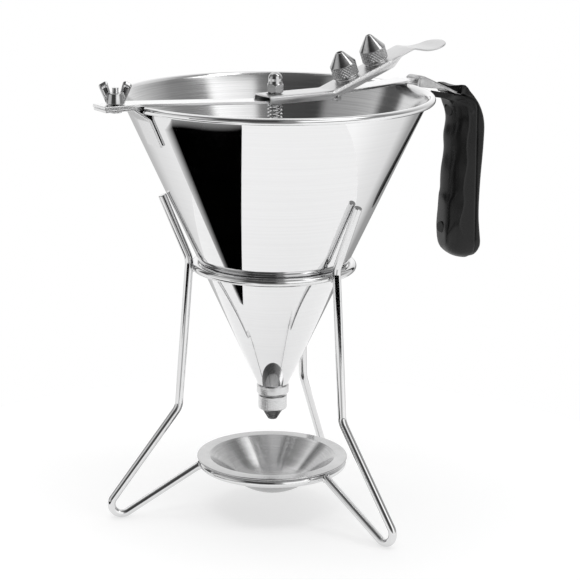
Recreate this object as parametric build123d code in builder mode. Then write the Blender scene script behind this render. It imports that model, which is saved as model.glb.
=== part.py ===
from build123d import *
import math
import os

# Confectionery funnel: a spun steel cone with a lever-worked stopper, in a wire stand over a drip bowl.
# Millimetres. The origin is on the cone's axis at the floor, +X points to the handle and +Z is up.

os.makedirs("parts", exist_ok=True)

# Driving dimensions of the cone and its outlet
cone_slope = 0.463
cone_apex = 60.4
cone_sheet = 0.8
cone_foot = 78.0
rim_radius = 92.9
rim_height = 257.2
rim_bead = 2.1
collar_radius = 9.8
collar_top = 80.0
collar_bottom = 73.6
thread_radius = 6.5
bore_radius = 5.0
spigot_end = 66.5

# Driving dimensions of the stand and the bowl
wire = 5.0
leg_angles = {"left": 159.0, "right": 282.0, "rear": 37.2}
leg_top = (67.9, 200.4)
leg_bend = (51.6, 160.6)
leg_knee = (58.3, 68.8)
leg_inner_end = (46.0, 30.4)
leg_bend_radii = (15.0, 12.0)
foot_reach = 93.6
foot_bend = 6.5
seat_ring_radius = 47.4
seat_ring_height = 155.3
bowl_ring_radius = 43.5
bowl_ring_height = 30.6
bowl_flange_radius = 46.3
bowl_flange_under = 33.4
bowl_under = 11.5
bowl_sheet = 1.0
bowl_floor_curve = 37.0
bowl_wall_angle = 41.0

# Driving dimensions of the bridge across the rim and of what holds it
bar_width = 15.0
bar_sheet = 1.6
bar_middle = 253.9
bar_end = 259.45
bar_left = -118.0
bar_right = 95.5
bar_crease = 95.0
tongue_right = 103.7
tongue_width = 8.0
stud_x = -107.5
stud_radius = 2.0
strap_sheet = 1.5
strap_width = 15.0
tang_sheet = 2.0
tang_width = 13.0

# Driving dimensions of the lever and the plunger
lever_width = 18.4
lever_sheet = 1.0
lever_top = 259.0
lever_left = -9.0
lever_bend_x = 36.5
lever_slope = 20.5
lever_hump_x = 95.5
lever_dish = (110.0, 277.8)
lever_tip = (124.2, 283.1)
flange_depth = 5.0
pin_x = 39.5
pin_z = 254.2
pin_radius = 1.2
nozzle_stations = {"small": 73.4, "medium": 51.8}
nozzle_radius = 8.0
rod_radius = 3.0
cap_nut_flats = 9.4
spring_wire = 1.2
spring_radius = 4.0
spring_turns = 20
spring_pitch = 2.1

# Driving dimensions of the grip
grip_half_width = 10.2
grip_round = 4.0
seam_start = (100.0, 255.9)
seam_corner = (146.5, 246.2)
seam_end = (148.2, 138.0)
screw_heights = (164.0, 238.8)

# Gaps: between pieces that move apart, in running fits, and between fixed pieces
body_gap = 0.3
running_gap = 0.06
fixed_gap = 0.03


def cone_radius(height):
    """Outer radius of the cone at a height."""
    return cone_slope * (height - cone_apex)


def cone_inner_radius(height):
    """Inner radius of the cone at a height."""
    return cone_radius(height) - cone_sheet * math.hypot(1.0, cone_slope)


def strip_radius(height, sheet):
    """Radius of the middle of a strip that lies on the outside of the cone."""
    return cone_radius(height) + (sheet / 2 + running_gap) * math.hypot(1.0, cone_slope)


def touch_point(point, centre, radius, side):
    """Point where a straight line from point touches a circle; side 1 or -1 picks which of the two."""
    away = math.atan2(point[1] - centre[1], point[0] - centre[0])
    swing = math.acos(radius / math.dist(point, centre))
    angle = away + side * swing
    return (centre[0] + radius * math.cos(angle), centre[1] + radius * math.sin(angle))


# Stand legs: each is one bent wire, from a cut end on the cone, past the seat ring and over a knee to the
# foot, where it turns back up to the bowl ring
foot_centre = (foot_reach, wire / 2 + foot_bend)
foot_in = touch_point(leg_knee, foot_centre, foot_bend, -1)
foot_out = touch_point(leg_inner_end, foot_centre, foot_bend, 1)
foot_diagonal = foot_bend * math.sqrt(0.5)
foot_tip = (foot_centre[0] + foot_diagonal, foot_centre[1] - foot_diagonal)
for leg_name, leg_angle in leg_angles.items():
    turn = math.radians(leg_angle)
    outward = (math.cos(turn), math.sin(turn), 0)
    leg_plane = Plane(origin=(0, 0, 0), x_dir=outward, z_dir=(outward[1], -outward[0], 0))
    with BuildPart() as leg:
        with BuildLine(leg_plane) as leg_route:
            FilletPolyline(leg_top, leg_bend, leg_knee, foot_in, radius=leg_bend_radii)
            ThreePointArc(foot_in, foot_tip, foot_out)
            Line(foot_out, leg_inner_end)
        with BuildSketch(Plane(origin=leg_route.wire() @ 0, z_dir=leg_route.wire() % 0)):
            Circle(wire / 2)
        sweep(path=leg_route.wire())
    leg.part.label = f"stand_leg_{leg_name}"
    export_step(leg.part, f"parts/stand_leg_{leg_name}.step")

# Seat ring: the upper ring of the stand, which the cone sits in
with BuildPart() as stand_ring:
    with BuildSketch(Plane.XZ):
        with Locations((seat_ring_radius, seat_ring_height)):
            Circle(wire / 2)
    revolve(axis=Axis.Z)
stand_ring.part.label = "stand_ring"
export_step(stand_ring.part, "parts/stand_ring.step")

# Bowl ring: the lower ring of the stand, under the bowl's flange
with BuildPart() as bowl_ring:
    with BuildSketch(Plane.XZ):
        with Locations((bowl_ring_radius, bowl_ring_height)):
            Circle(wire / 2)
    revolve(axis=Axis.Z)
bowl_ring.part.label = "bowl_ring"
export_step(bowl_ring.part, "parts/bowl_ring.step")

# Drip bowl: pressed steel, a conical wall into a round floor, with a flat flange
floor_centre = (0, bowl_under + bowl_floor_curve)
floor_start = 270.0
wall_grade = math.tan(math.radians(bowl_wall_angle))
flange_top = bowl_flange_under + bowl_sheet
with BuildPart() as drip_bowl:
    with BuildSketch(Plane.XZ):
        with BuildLine():
            floor_under = CenterArc(floor_centre, bowl_floor_curve, floor_start, bowl_wall_angle)
            floor_over = CenterArc(floor_centre, bowl_floor_curve - bowl_sheet, floor_start, bowl_wall_angle)
            under_end = floor_under @ 1
            over_end = floor_over @ 1
            mouth_under = under_end.X + (bowl_flange_under - under_end.Y) / wall_grade
            mouth_over = over_end.X + (flange_top - over_end.Y) / wall_grade
            Polyline(
                under_end,
                (mouth_under, bowl_flange_under),
                (bowl_flange_radius, bowl_flange_under),
                (bowl_flange_radius, flange_top),
                (mouth_over, flange_top),
                over_end,
            )
            Line(floor_over @ 0, floor_under @ 0)
        make_face()
    revolve(axis=Axis.Z)
drip_bowl.part.label = "drip_bowl"
export_step(drip_bowl.part, "parts/drip_bowl.step")

# Funnel cone: spun sheet with a rolled rim
sheet_top = rim_height + 1.4
with BuildPart() as funnel_cone:
    with BuildSketch(Plane.XZ):
        with BuildLine():
            Polyline(
                (cone_inner_radius(cone_foot), cone_foot),
                (cone_radius(cone_foot), cone_foot),
                (cone_radius(sheet_top), sheet_top),
                (cone_inner_radius(sheet_top), sheet_top),
                close=True,
            )
        make_face()
        with Locations((rim_radius, rim_height)):
            Circle(rim_bead)
    revolve(axis=Axis.Z)
funnel_cone.part.label = "funnel_cone"
export_step(funnel_cone.part, "parts/funnel_cone.step")

# Outlet spigot: turned collar round the cone's end, with a threaded tube below and a conical throat inside
collar_bevel = (1.3, 1.6)
thread_bevel = 0.6
throat_end = cone_apex + (bore_radius + cone_radius(cone_foot) - cone_inner_radius(cone_foot)) / cone_slope
with BuildPart() as outlet_spigot:
    with BuildSketch(Plane.XZ):
        with BuildLine():
            Polyline(
                (cone_radius(collar_top) + running_gap, collar_top),
                (collar_radius, collar_top),
                (collar_radius, collar_bottom + collar_bevel[1]),
                (collar_radius - collar_bevel[0], collar_bottom),
                (thread_radius, collar_bottom),
                (thread_radius, spigot_end + thread_bevel),
                (thread_radius - thread_bevel, spigot_end),
                (bore_radius, spigot_end),
                (bore_radius, throat_end),
                (cone_inner_radius(cone_foot), cone_foot - running_gap),
                (cone_radius(cone_foot) + running_gap, cone_foot - running_gap),
                close=True,
            )
        make_face()
    revolve(axis=Axis.Z)
outlet_spigot.part.label = "outlet_spigot"
export_step(outlet_spigot.part, "parts/outlet_spigot.step")

# Fitted nozzle: screws on the spigot's thread, a plain barrel with a cone to the tip
barrel_top = collar_bottom - body_gap
barrel_low = 65.2
barrel_radius = 8.75
barrel_bevel = 0.6
shoulder = (6.1, 63.5)
inner_shoulder = (4.9, 64.3)
thread_floor = 65.8
nozzle_tip = 58.0
nozzle_tip_radius = 2.7
nozzle_hole = 1.9
nozzle_hole_length = 1.5
with BuildPart() as fitted_nozzle:
    with BuildSketch(Plane.XZ):
        with BuildLine():
            Polyline(
                (thread_radius + running_gap, barrel_top),
                (barrel_radius - barrel_bevel, barrel_top),
                (barrel_radius, barrel_top - barrel_bevel),
                (barrel_radius, barrel_low),
                shoulder,
                (nozzle_tip_radius, nozzle_tip),
                (nozzle_hole, nozzle_tip),
                (nozzle_hole, nozzle_tip + nozzle_hole_length),
                inner_shoulder,
                (thread_radius + running_gap, thread_floor),
                close=True,
            )
        make_face()
    revolve(axis=Axis.Z)
fitted_nozzle.part.label = "fitted_nozzle"
export_step(fitted_nozzle.part, "parts/fitted_nozzle.step")

# Clamp bracket: strap from the cone, out under the rim to a flat below the bridge's left end
strap_flat = bar_end - body_gap - strap_sheet / 2
strap_left = bar_left + 0.5
strap_bend_x = -99.8
strap_corner_z = 251.0
strap_tail_z = 235.0
strap_radii = (2.5, 4.0)
with BuildPart() as clamp_bracket:
    with BuildSketch(Plane.XZ):
        with BuildLine():
            FilletPolyline(
                (strap_left, strap_flat),
                (strap_bend_x, strap_flat),
                (-strip_radius(strap_corner_z, strap_sheet), strap_corner_z),
                (-strip_radius(strap_tail_z, strap_sheet), strap_tail_z),
                radius=strap_radii,
            )
        trace(line_width=strap_sheet)
    extrude(amount=strap_width / 2, both=True)
    with Locations((stud_x, 0, strap_flat)):
        Hole(radius=stud_radius + fixed_gap)
clamp_bracket.part.label = "clamp_bracket"
export_step(clamp_bracket.part, "parts/clamp_bracket.step")

# Clamp stud: threaded stud through the bracket and the bridge, with a flat head below
stud_head_top = strap_flat - strap_sheet / 2 - fixed_gap
stud_head_height = 1.4
stud_head_radius = 3.6
stud_end = 270.6
stud_bevel = 0.5
with BuildPart() as clamp_stud:
    with BuildSketch(Plane.XY.offset(stud_head_top - stud_head_height)):
        with Locations((stud_x, 0)):
            Circle(stud_head_radius)
    extrude(amount=stud_head_height)
    with BuildSketch(Plane.XY.offset(stud_head_top)):
        with Locations((stud_x, 0)):
            Circle(stud_radius)
    extrude(amount=stud_end - stud_head_top)
    chamfer(clamp_stud.faces().sort_by(Axis.Z)[-1].edges(), stud_bevel)
clamp_stud.part.label = "clamp_stud"
export_step(clamp_stud.part, "parts/clamp_stud.step")

# Wing nut: a tapered hub with two rounded wings that lean outwards
hub_foot = bar_end + bar_sheet + body_gap
hub_height = 6.2
hub_radius = 5.4
hub_taper = 9.0
wing_turn = math.radians(-24.0)
wing_sheet = 2.4
wing_root_inner = (1.2, 1.0)
wing_root_outer = (5.3, 0.3)
wing_tip_outer = (9.7, 10.6)
wing_tip_inner = (4.8, 13.4)
wing_round = 1.5
wing_plane = Plane(
    origin=(stud_x, 0, hub_foot),
    x_dir=(math.cos(wing_turn), math.sin(wing_turn), 0),
    z_dir=(math.sin(wing_turn), -math.cos(wing_turn), 0),
)
with BuildPart() as wing_nut:
    with BuildSketch(Plane(origin=(stud_x, 0, hub_foot))):
        Circle(hub_radius)
    extrude(amount=hub_height, taper=hub_taper)
    with BuildSketch(wing_plane) as wings:
        with BuildLine():
            Polyline(wing_root_inner, wing_root_outer, wing_tip_outer, wing_tip_inner, close=True)
        make_face()
        fillet(wings.vertices().sort_by(Axis.Y)[-2:], radius=wing_round)
        mirror(about=Plane.YZ)
    extrude(amount=wing_sheet / 2, both=True)
    with Locations((stud_x, 0, hub_foot)):
        Hole(radius=stud_radius + running_gap)
wing_nut.part.label = "wing_nut"
export_step(wing_nut.part, "parts/wing_nut.step")

# Bridge bar: flat bar across the rim, bent to a shallow V, with a narrow tongue at the handle end
bar_end_line = bar_end + bar_sheet / 2
bar_middle_line = bar_middle + bar_sheet / 2
bar_bend_radii = (15.0, 25.0, 15.0)
shoulder_cut = 10.0
with BuildPart() as bridge_bar:
    with BuildSketch(Plane.XZ):
        with BuildLine():
            FilletPolyline(
                (bar_left, bar_end_line),
                (-bar_crease, bar_end_line),
                (0, bar_middle_line),
                (bar_crease, bar_end_line),
                (tongue_right, bar_end_line),
                radius=bar_bend_radii,
            )
        trace(line_width=bar_sheet)
    extrude(amount=bar_width / 2, both=True)
    with BuildSketch(Plane.XY.offset(bar_end_line)):
        for side in (1, -1):
            with Locations((bar_right + shoulder_cut / 2, side * (tongue_width + shoulder_cut) / 2)):
                Rectangle(shoulder_cut, shoulder_cut)
    extrude(amount=bar_sheet, both=True, mode=Mode.SUBTRACT)
    with Locations((0, 0, bar_middle)):
        Hole(radius=rod_radius + running_gap)
    with Locations((stud_x, 0, bar_end)):
        Hole(radius=stud_radius + body_gap)
bridge_bar.part.label = "bridge_bar"
export_step(bridge_bar.part, "parts/bridge_bar.step")


def bar_under(x):
    """Height of the bridge's underside, between its two creases."""
    return bar_middle + (bar_end - bar_middle) * abs(x) / bar_crease


# Fulcrum eye: welded under the bridge, holds the lever's pin
eye_radius = 1.95
eye_width = 6.0
eye_left = pin_x - eye_radius
eye_right = pin_x + eye_radius
with BuildPart() as fulcrum_eye:
    with BuildSketch(Plane.XZ):
        with BuildLine():
            Polyline(
                (eye_left, pin_z),
                (eye_right, pin_z),
                (eye_right, bar_under(eye_right) - fixed_gap),
                (eye_left, bar_under(eye_left) - fixed_gap),
                close=True,
            )
        make_face()
        with Locations((pin_x, pin_z)):
            Circle(eye_radius)
            Circle(pin_radius + running_gap, mode=Mode.SUBTRACT)
    extrude(amount=eye_width / 2, both=True)
fulcrum_eye.part.label = "fulcrum_eye"
export_step(fulcrum_eye.part, "parts/fulcrum_eye.step")

# Lever: pressed channel over the bridge, bent up past its pin, with a dished thumb paddle. The web's bend is
# placed so that both its top faces meet at the bend's x
rise = math.radians(lever_slope)
grade = math.tan(rise)
along = (math.cos(rise), 0, math.sin(rise))
square = (-math.sin(rise), 0, math.cos(rise))
web_line = lever_top - lever_sheet / 2
web_under = lever_top - lever_sheet
web_bend_x = lever_bend_x + lever_sheet / 2 * math.tan(rise / 2)
inner_bend_x = lever_bend_x + lever_sheet * math.tan(rise / 2)
slope_low_x = lever_bend_x + flange_depth * math.tan(rise / 2)
flange_low = lever_top - flange_depth
flange_cut_low = 81.0
flange_cut_high = 86.0
ear_radius = 2.1
lever_radii = (6.0, 6.0, 30.0)
paddle_radius = lever_width / 2
paddle_centre = lever_tip[0] - paddle_radius
slot_ends = (-5.7, 3.6)
slot_width = 6.8
rivet_radius = 3.0
lever_reach = 60.0
seat_planes = {}
for nozzle_name, station in nozzle_stations.items():
    seat = (station, 0, lever_top + (station - lever_bend_x) * grade)
    seat_planes[nozzle_name] = Plane(origin=seat, x_dir=along, z_dir=square)
with BuildPart() as lever:
    with BuildSketch(Plane.XZ):
        with BuildLine():
            FilletPolyline(
                (lever_left, web_line),
                (web_bend_x, web_line),
                (lever_hump_x, web_line + (lever_hump_x - web_bend_x) * grade),
                lever_dish,
                lever_tip,
                radius=lever_radii,
            )
        trace(line_width=lever_sheet)
    extrude(amount=lever_width / 2, both=True)
    with BuildSketch(Plane.XY.offset(lever_top)):
        with Locations(((lever_left + paddle_centre) / 2, 0)):
            Rectangle(paddle_centre - lever_left, lever_width)
        with Locations((paddle_centre, 0)):
            Circle(paddle_radius)
    extrude(amount=lever_reach, both=True, mode=Mode.INTERSECT)
    with BuildSketch(Plane.XZ):
        with BuildLine():
            Polyline(
                (lever_left, flange_low),
                (slope_low_x, flange_low),
                (flange_cut_low, flange_low + (flange_cut_low - slope_low_x) * grade),
                (flange_cut_high, web_line + (flange_cut_high - web_bend_x) * grade),
                (web_bend_x, web_line),
                (lever_left, web_line),
                close=True,
            )
        make_face()
        with Locations((pin_x, pin_z)):
            Circle(ear_radius)
    extrude(amount=lever_width / 2, both=True)
    with BuildSketch(Plane.XZ):
        with BuildLine():
            Polyline(
                (lever_left - lever_sheet, flange_low - flange_depth),
                (lever_left - lever_sheet, web_under),
                (inner_bend_x, web_under),
                (lever_hump_x, web_under + (lever_hump_x - inner_bend_x) * grade),
                (lever_hump_x, flange_low - flange_depth),
                close=True,
            )
        make_face()
    extrude(amount=lever_width / 2 - lever_sheet, both=True, mode=Mode.SUBTRACT)
    with BuildSketch(Plane.XY.offset(web_line)):
        with Locations((sum(slot_ends) / 2, 0)):
            SlotOverall(slot_ends[1] - slot_ends[0], slot_width)
    extrude(amount=flange_depth, both=True, mode=Mode.SUBTRACT)
    with BuildSketch(Plane.XZ):
        with Locations((pin_x, pin_z)):
            Circle(pin_radius + fixed_gap)
    extrude(amount=lever_width, both=True, mode=Mode.SUBTRACT)
    for seat_plane in seat_planes.values():
        with BuildSketch(seat_plane):
            Circle(rivet_radius + fixed_gap)
        extrude(amount=2 * lever_sheet, both=True, mode=Mode.SUBTRACT)
lever.part.label = "lever"
export_step(lever.part, "parts/lever.step")

# Lever pin: cross pin through both flanges and the eye, peened over at the ends
pin_head_height = 0.9
pin_head_radius = 2.0
pin_inside = lever_width / 2 + fixed_gap
with BuildPart() as lever_pin:
    with BuildSketch(Plane.XZ):
        with Locations((pin_x, pin_z)):
            Circle(pin_radius)
    extrude(amount=pin_inside, both=True)
    for side in (1, -1):
        with BuildSketch(Plane.XZ.offset(side * pin_inside)):
            with Locations((pin_x, pin_z)):
                Circle(pin_head_radius)
        extrude(amount=side * pin_head_height)
lever_pin.part.label = "lever_pin"
export_step(lever_pin.part, "parts/lever_pin.step")

# Stud collars: two flat rings at the foot of the parking studs
park_collar_height = 1.4
park_collar_radius = 7.2
with BuildPart() as stud_collars:
    for seat_plane in seat_planes.values():
        with BuildSketch(seat_plane.offset(fixed_gap)):
            Circle(park_collar_radius)
            Circle(rivet_radius + fixed_gap, mode=Mode.SUBTRACT)
        extrude(amount=park_collar_height)
stud_collars.part.label = "stud_collars"
export_step(stud_collars.part, "parts/stud_collars.step")

# Nozzle studs: threaded studs that park the spare nozzles, riveted through collar and web
stud_foot = park_collar_height + 2 * fixed_gap
stud_height = 6.2
rivet_low = -lever_sheet - fixed_gap
rivet_tail = 0.7
rivet_tail_radius = 4.2
with BuildPart() as nozzle_studs:
    for seat_plane in seat_planes.values():
        with BuildSketch(seat_plane.offset(stud_foot)):
            Circle(thread_radius)
        extrude(amount=stud_height)
        with BuildSketch(seat_plane.offset(rivet_low)):
            Circle(rivet_radius)
        extrude(amount=stud_foot - rivet_low)
        with BuildSketch(seat_plane.offset(rivet_low)):
            Circle(rivet_tail_radius)
        extrude(amount=-rivet_tail)
nozzle_studs.part.label = "nozzle_studs"
export_step(nozzle_studs.part, "parts/nozzle_studs.step")

# Spare nozzles: knurled barrel and cone, parked on the studs with their tips up
spare_foot = park_collar_height + fixed_gap + body_gap
spare_shoulder = spare_foot + 7.6
spare_bevel = 0.5
spare_tips = {"small": (1.7, 8.6), "medium": (2.4, 7.5)}
spare_tip_wall = 0.7
spare_hole_length = 2.0
spare_thread_end = spare_shoulder - 1.2
spare_throat = 5.0
for nozzle_name, (tip_radius, tip_height) in spare_tips.items():
    seat_plane = seat_planes[nozzle_name]
    half_plane = Plane(origin=seat_plane.origin, x_dir=along, z_dir=(0, -1, 0))
    tip = spare_shoulder + tip_height
    with BuildPart() as spare_nozzle:
        with BuildSketch(half_plane):
            with BuildLine():
                Polyline(
                    (thread_radius + running_gap, spare_foot),
                    (nozzle_radius - spare_bevel, spare_foot),
                    (nozzle_radius, spare_foot + spare_bevel),
                    (nozzle_radius, spare_shoulder),
                    (tip_radius, tip),
                    (tip_radius - spare_tip_wall, tip),
                    (tip_radius - spare_tip_wall, tip - spare_hole_length),
                    (spare_throat, spare_shoulder),
                    (thread_radius + running_gap, spare_thread_end),
                    close=True,
                )
            make_face()
        revolve(axis=Axis(seat_plane.origin, square))
    spare_nozzle.part.label = f"spare_nozzle_{nozzle_name}"
    export_step(spare_nozzle.part, f"parts/spare_nozzle_{nozzle_name}.step")

# Plunger rod: round rod from the cap nut down to the stopper, cross drilled for the spring's pin
spring_top = bar_middle - spring_wire / 2 - 0.15
spring_bottom = spring_top - spring_turns * spring_pitch
washer_top = spring_bottom - spring_wire / 2 - 0.1
washer_sheet = 1.0
cross_pin_radius = 0.8
cross_pin_z = washer_top - washer_sheet - cross_pin_radius - fixed_gap
nut_foot = lever_top + body_gap
rod_top = nut_foot + 8.0
rod_foot = 76.5
with BuildPart() as plunger_rod:
    with BuildSketch(Plane.XY.offset(rod_foot)):
        Circle(rod_radius)
    extrude(amount=rod_top - rod_foot)
    with BuildSketch(Plane.XZ):
        with Locations((0, cross_pin_z)):
            Circle(cross_pin_radius + fixed_gap)
    extrude(amount=2 * rod_radius, both=True, mode=Mode.SUBTRACT)
plunger_rod.part.label = "plunger_rod"
export_step(plunger_rod.part, "parts/plunger_rod.step")

# Rod stopper: conical plug that closes the outlet's throat
stopper_gap = 0.38
stopper_low = 73.7
stopper_high = 77.6
stopper_shoulder = 80.0
stopper_top = 82.8
stopper_neck = 3.9
stopper_radius = cone_inner_radius(stopper_high) - stopper_gap
socket_radius = rod_radius + fixed_gap
socket_floor = rod_foot - fixed_gap
with BuildPart() as rod_stopper:
    with BuildSketch(Plane.XZ):
        with BuildLine():
            Polyline(
                (0, stopper_low),
                (cone_inner_radius(stopper_low) - stopper_gap, stopper_low),
                (stopper_radius, stopper_high),
                (stopper_radius, stopper_shoulder),
                (stopper_neck, stopper_top),
                (socket_radius, stopper_top),
                (socket_radius, socket_floor),
                (0, socket_floor),
                close=True,
            )
        make_face()
    revolve(axis=Axis.Z)
rod_stopper.part.label = "rod_stopper"
export_step(rod_stopper.part, "parts/rod_stopper.step")

# Cap nut: hexagon with a dome, screwed on the rod's top over the lever
nut_hex_height = 5.8
nut_height = 12.7
dome_radius = 4.25
dome_base = nut_foot + nut_height - dome_radius
with BuildPart() as cap_nut:
    with BuildSketch(Plane.XY.offset(nut_foot)):
        RegularPolygon(radius=cap_nut_flats / 2, side_count=6, major_radius=False)
    extrude(amount=nut_hex_height)
    with BuildSketch(Plane.XZ):
        with BuildLine():
            dome = CenterArc((0, dome_base), dome_radius, 0, 90)
            Polyline(dome @ 1, (0, nut_foot), (dome_radius, nut_foot), dome @ 0)
        make_face()
    revolve(axis=Axis.Z)
    with BuildSketch(Plane.XY.offset(nut_foot)):
        Circle(rod_radius + fixed_gap)
    extrude(amount=rod_top - nut_foot + fixed_gap, mode=Mode.SUBTRACT)
cap_nut.part.label = "cap_nut"
export_step(cap_nut.part, "parts/cap_nut.step")

# Spring washer: carries the spring's lower end
washer_radius = 5.2
with BuildPart() as spring_washer:
    with BuildSketch(Plane.XY.offset(washer_top - washer_sheet)):
        Circle(washer_radius)
        Circle(rod_radius + fixed_gap, mode=Mode.SUBTRACT)
    extrude(amount=washer_sheet)
spring_washer.part.label = "spring_washer"
export_step(spring_washer.part, "parts/spring_washer.step")

# Spring pin: cross pin in the rod that carries the washer
cross_pin_half = 4.6
with BuildPart() as spring_pin:
    with BuildSketch(Plane.XZ):
        with Locations((0, cross_pin_z)):
            Circle(cross_pin_radius)
    extrude(amount=cross_pin_half, both=True)
spring_pin.part.label = "spring_pin"
export_step(spring_pin.part, "parts/spring_pin.step")


def helix_place(turns):
    """Point on the spring's centre line, and the line's direction there, after a number of turns."""
    angle = 2 * math.pi * turns
    climb = spring_pitch / (2 * math.pi * spring_radius)
    place = Vector(
        spring_radius * math.cos(angle),
        spring_radius * math.sin(angle),
        spring_bottom + spring_pitch * turns,
    )
    heading = Vector(-math.sin(angle), math.cos(angle), climb).normalized()
    return place, heading


# Return spring: one unbroken wire, each half turn drawn as two arcs that share a tangent
with BuildPart() as return_spring:
    with BuildLine() as spring_route:
        for half_turn in range(2 * spring_turns):
            here, heading = helix_place(half_turn / 2)
            there, arrival = helix_place(half_turn / 2 + 0.5)
            step = there - here
            headings = heading + arrival
            square_term = headings.dot(headings) - 4
            cross_term = step.dot(headings)
            reach = (cross_term - math.sqrt(cross_term**2 - square_term * step.dot(step))) / square_term
            first_corner = here + heading * reach
            second_corner = there - arrival * reach
            meeting = (first_corner + second_corner) * 0.5
            TangentArc(here, meeting, tangent=heading)
            TangentArc(meeting, there, tangent=(second_corner - first_corner).normalized())
    spring_start, spring_heading = helix_place(0)
    with BuildSketch(Plane(origin=spring_start, z_dir=spring_heading)):
        Circle(spring_wire / 2)
    sweep(path=spring_route.wire())
return_spring.part.label = "return_spring"
export_step(return_spring.part, "parts/return_spring.step")

# The spring's least gap to itself, measured on points along its centre line
samples_per_turn = 24
sample_count = samples_per_turn * spring_turns
spring_points = [spring_route.wire() @ (index / sample_count) for index in range(sample_count + 1)]
least_gap = min(
    (spring_points[later] - spring_points[first]).length - spring_wire
    for first in range(sample_count + 1)
    for later in range(first + samples_per_turn // 2, min(first + 2 * samples_per_turn, sample_count + 1))
)
tube_volume = math.pi * (spring_wire / 2) ** 2 * spring_route.wire().length
print(f"return spring: least gap {least_gap:.2f} mm")
print(f"return spring: volume {return_spring.part.volume:.1f}, section times length {tube_volume:.1f} mm3")


# Handle tang: steel strip with a slot for the bridge's tongue, a cheek down each side of its slope and two holes
# for the grip's screws
tang_foot_z = 238.5
tang_corner_z = 250.8
riser_foot = (101.6, 252.2)
riser_top = (101.6, 263.4)
tang_landing = (131.0, 250.58)
cheek_sheet = 1.2
cheek_outline = [
    (103.0, 260.4),
    (106.0, 261.2),
    (110.4, 259.6),
    (116.2, 257.1),
    (122.0, 254.5),
    (121.8, 253.6),
    (111.9, 254.8),
    (103.0, 256.1),
]
tang_corner = (seam_corner[0] + tang_sheet / 2, seam_corner[1] + tang_sheet / 2)
tang_end = (seam_end[0] + tang_sheet / 2, 156.0)
tang_radii = (4.0, 3.0, 3.2, 20.0, 9.0)
tongue_gap = 0.3
screw_hole = 2.3


def tang_strip(sheet, width):
    """The strip that runs from the cone, under and round the rim, up and over into the grip."""
    with BuildPart() as strip:
        with BuildSketch(Plane.XZ):
            with BuildLine():
                FilletPolyline(
                    (strip_radius(tang_foot_z, tang_sheet), tang_foot_z),
                    (strip_radius(tang_corner_z, tang_sheet), tang_corner_z),
                    riser_foot,
                    riser_top,
                    tang_landing,
                    tang_corner,
                    tang_end,
                    radius=tang_radii,
                )
            trace(line_width=sheet)
        extrude(amount=width / 2, both=True)
    return strip.part


with BuildPart() as handle_tang:
    add(tang_strip(tang_sheet, tang_width))
    for side in (1, -1):
        with BuildSketch(Plane.XZ.offset(side * tang_width / 2)):
            with BuildLine():
                Polyline(cheek_outline, close=True)
            make_face()
        extrude(amount=-side * cheek_sheet)
    with BuildSketch(Plane.YZ.offset(riser_top[0])):
        with Locations((0, bar_end_line)):
            Rectangle(tongue_width + 2 * tongue_gap, bar_sheet + 2 * tongue_gap)
    extrude(amount=tongue_right + tongue_gap - riser_top[0], both=True, mode=Mode.SUBTRACT)
    for screw_z in screw_heights:
        with BuildSketch(Plane.YZ.offset(tang_corner[0])):
            with Locations((0, screw_z)):
                Circle(screw_hole)
        extrude(amount=3 * tang_sheet, both=True, mode=Mode.SUBTRACT)
handle_tang.part.label = "handle_tang"
export_step(handle_tang.part, "parts/handle_tang.step")

# Grip: two plastic halves that meet on a seam beside the tang. The outline runs down the finger side, round
# the heel and back up the palm side
prong_low = (111.0, 249.0)
finger_side = [(122.0, 246.6), (129.5, 240.0), (131.5, 230.0), (130.3, 212.0), (128.4, 190.0), (126.0, 168.0)]
heel_start = (125.6, 160.0)
heel_middle = (131.2, 148.6)
heel_end = (145.0, 142.2)
tail_middle = (152.6, 144.9)
tail_end = (155.0, 152.5)
palm_hollow = (153.1, 177.0)
palm_back = (154.4, 202.0)
palm_bulge = (154.9, 230.6)
palm_brow = (140.7, 252.2)
lip_end = (123.0, 257.0)
nose_high = (110.0, 258.0)
nose_low = (110.0, 250.0)
seam_radius = 8.0
outside_corner = (175.0, 275.0)
pocket_gap = 0.15


def grip_blank():
    """The grip's outer shape, before it is parted along its seam."""
    with BuildPart() as blank:
        with BuildSketch(Plane.XZ):
            with BuildLine():
                Spline(prong_low, *finger_side, heel_start)
                ThreePointArc(heel_start, heel_middle, heel_end)
                ThreePointArc(heel_end, tail_middle, tail_end)
                back = ThreePointArc(tail_end, palm_hollow, palm_back)
                bulge = TangentArc(palm_back, palm_bulge, tangent=back % 1)
                brow = TangentArc(palm_bulge, palm_brow, tangent=bulge % 1)
                TangentArc(palm_brow, lip_end, tangent=brow % 1)
                Polyline(lip_end, nose_high, nose_low, prong_low)
            make_face()
        extrude(amount=grip_half_width, both=True)
        side_edges = blank.faces().filter_by(Axis.Y).edges()
        fillet(side_edges.filter_by(GeomType.LINE, reverse=True), radius=grip_round)
    return blank.part


def palm_region():
    """Everything on the palm side of the grip's seam."""
    with BuildPart() as region:
        with BuildSketch(Plane.XZ):
            with BuildLine():
                seam = FilletPolyline(seam_start, seam_corner, seam_end, radius=seam_radius)
                Polyline(
                    seam @ 1,
                    (outside_corner[0], seam_end[1]),
                    outside_corner,
                    (seam_start[0], outside_corner[1]),
                    seam @ 0,
                )
            make_face()
        extrude(amount=2 * grip_half_width, both=True)
    return region.part


# Grip plugs: two round plugs over the screw heads, just under the grip's finger side
plug_faces = {screw_heights[0]: 126.4, screw_heights[1]: 130.4}
plug_radius = 3.6
plug_height = 1.7
with BuildPart() as grip_plugs:
    for screw_z, plug_x in plug_faces.items():
        with BuildSketch(Plane.YZ.offset(plug_x)):
            with Locations((0, screw_z)):
                Circle(plug_radius)
        extrude(amount=plug_height)
grip_plugs.part.label = "grip_plugs"
export_step(grip_plugs.part, "parts/grip_plugs.step")

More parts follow.
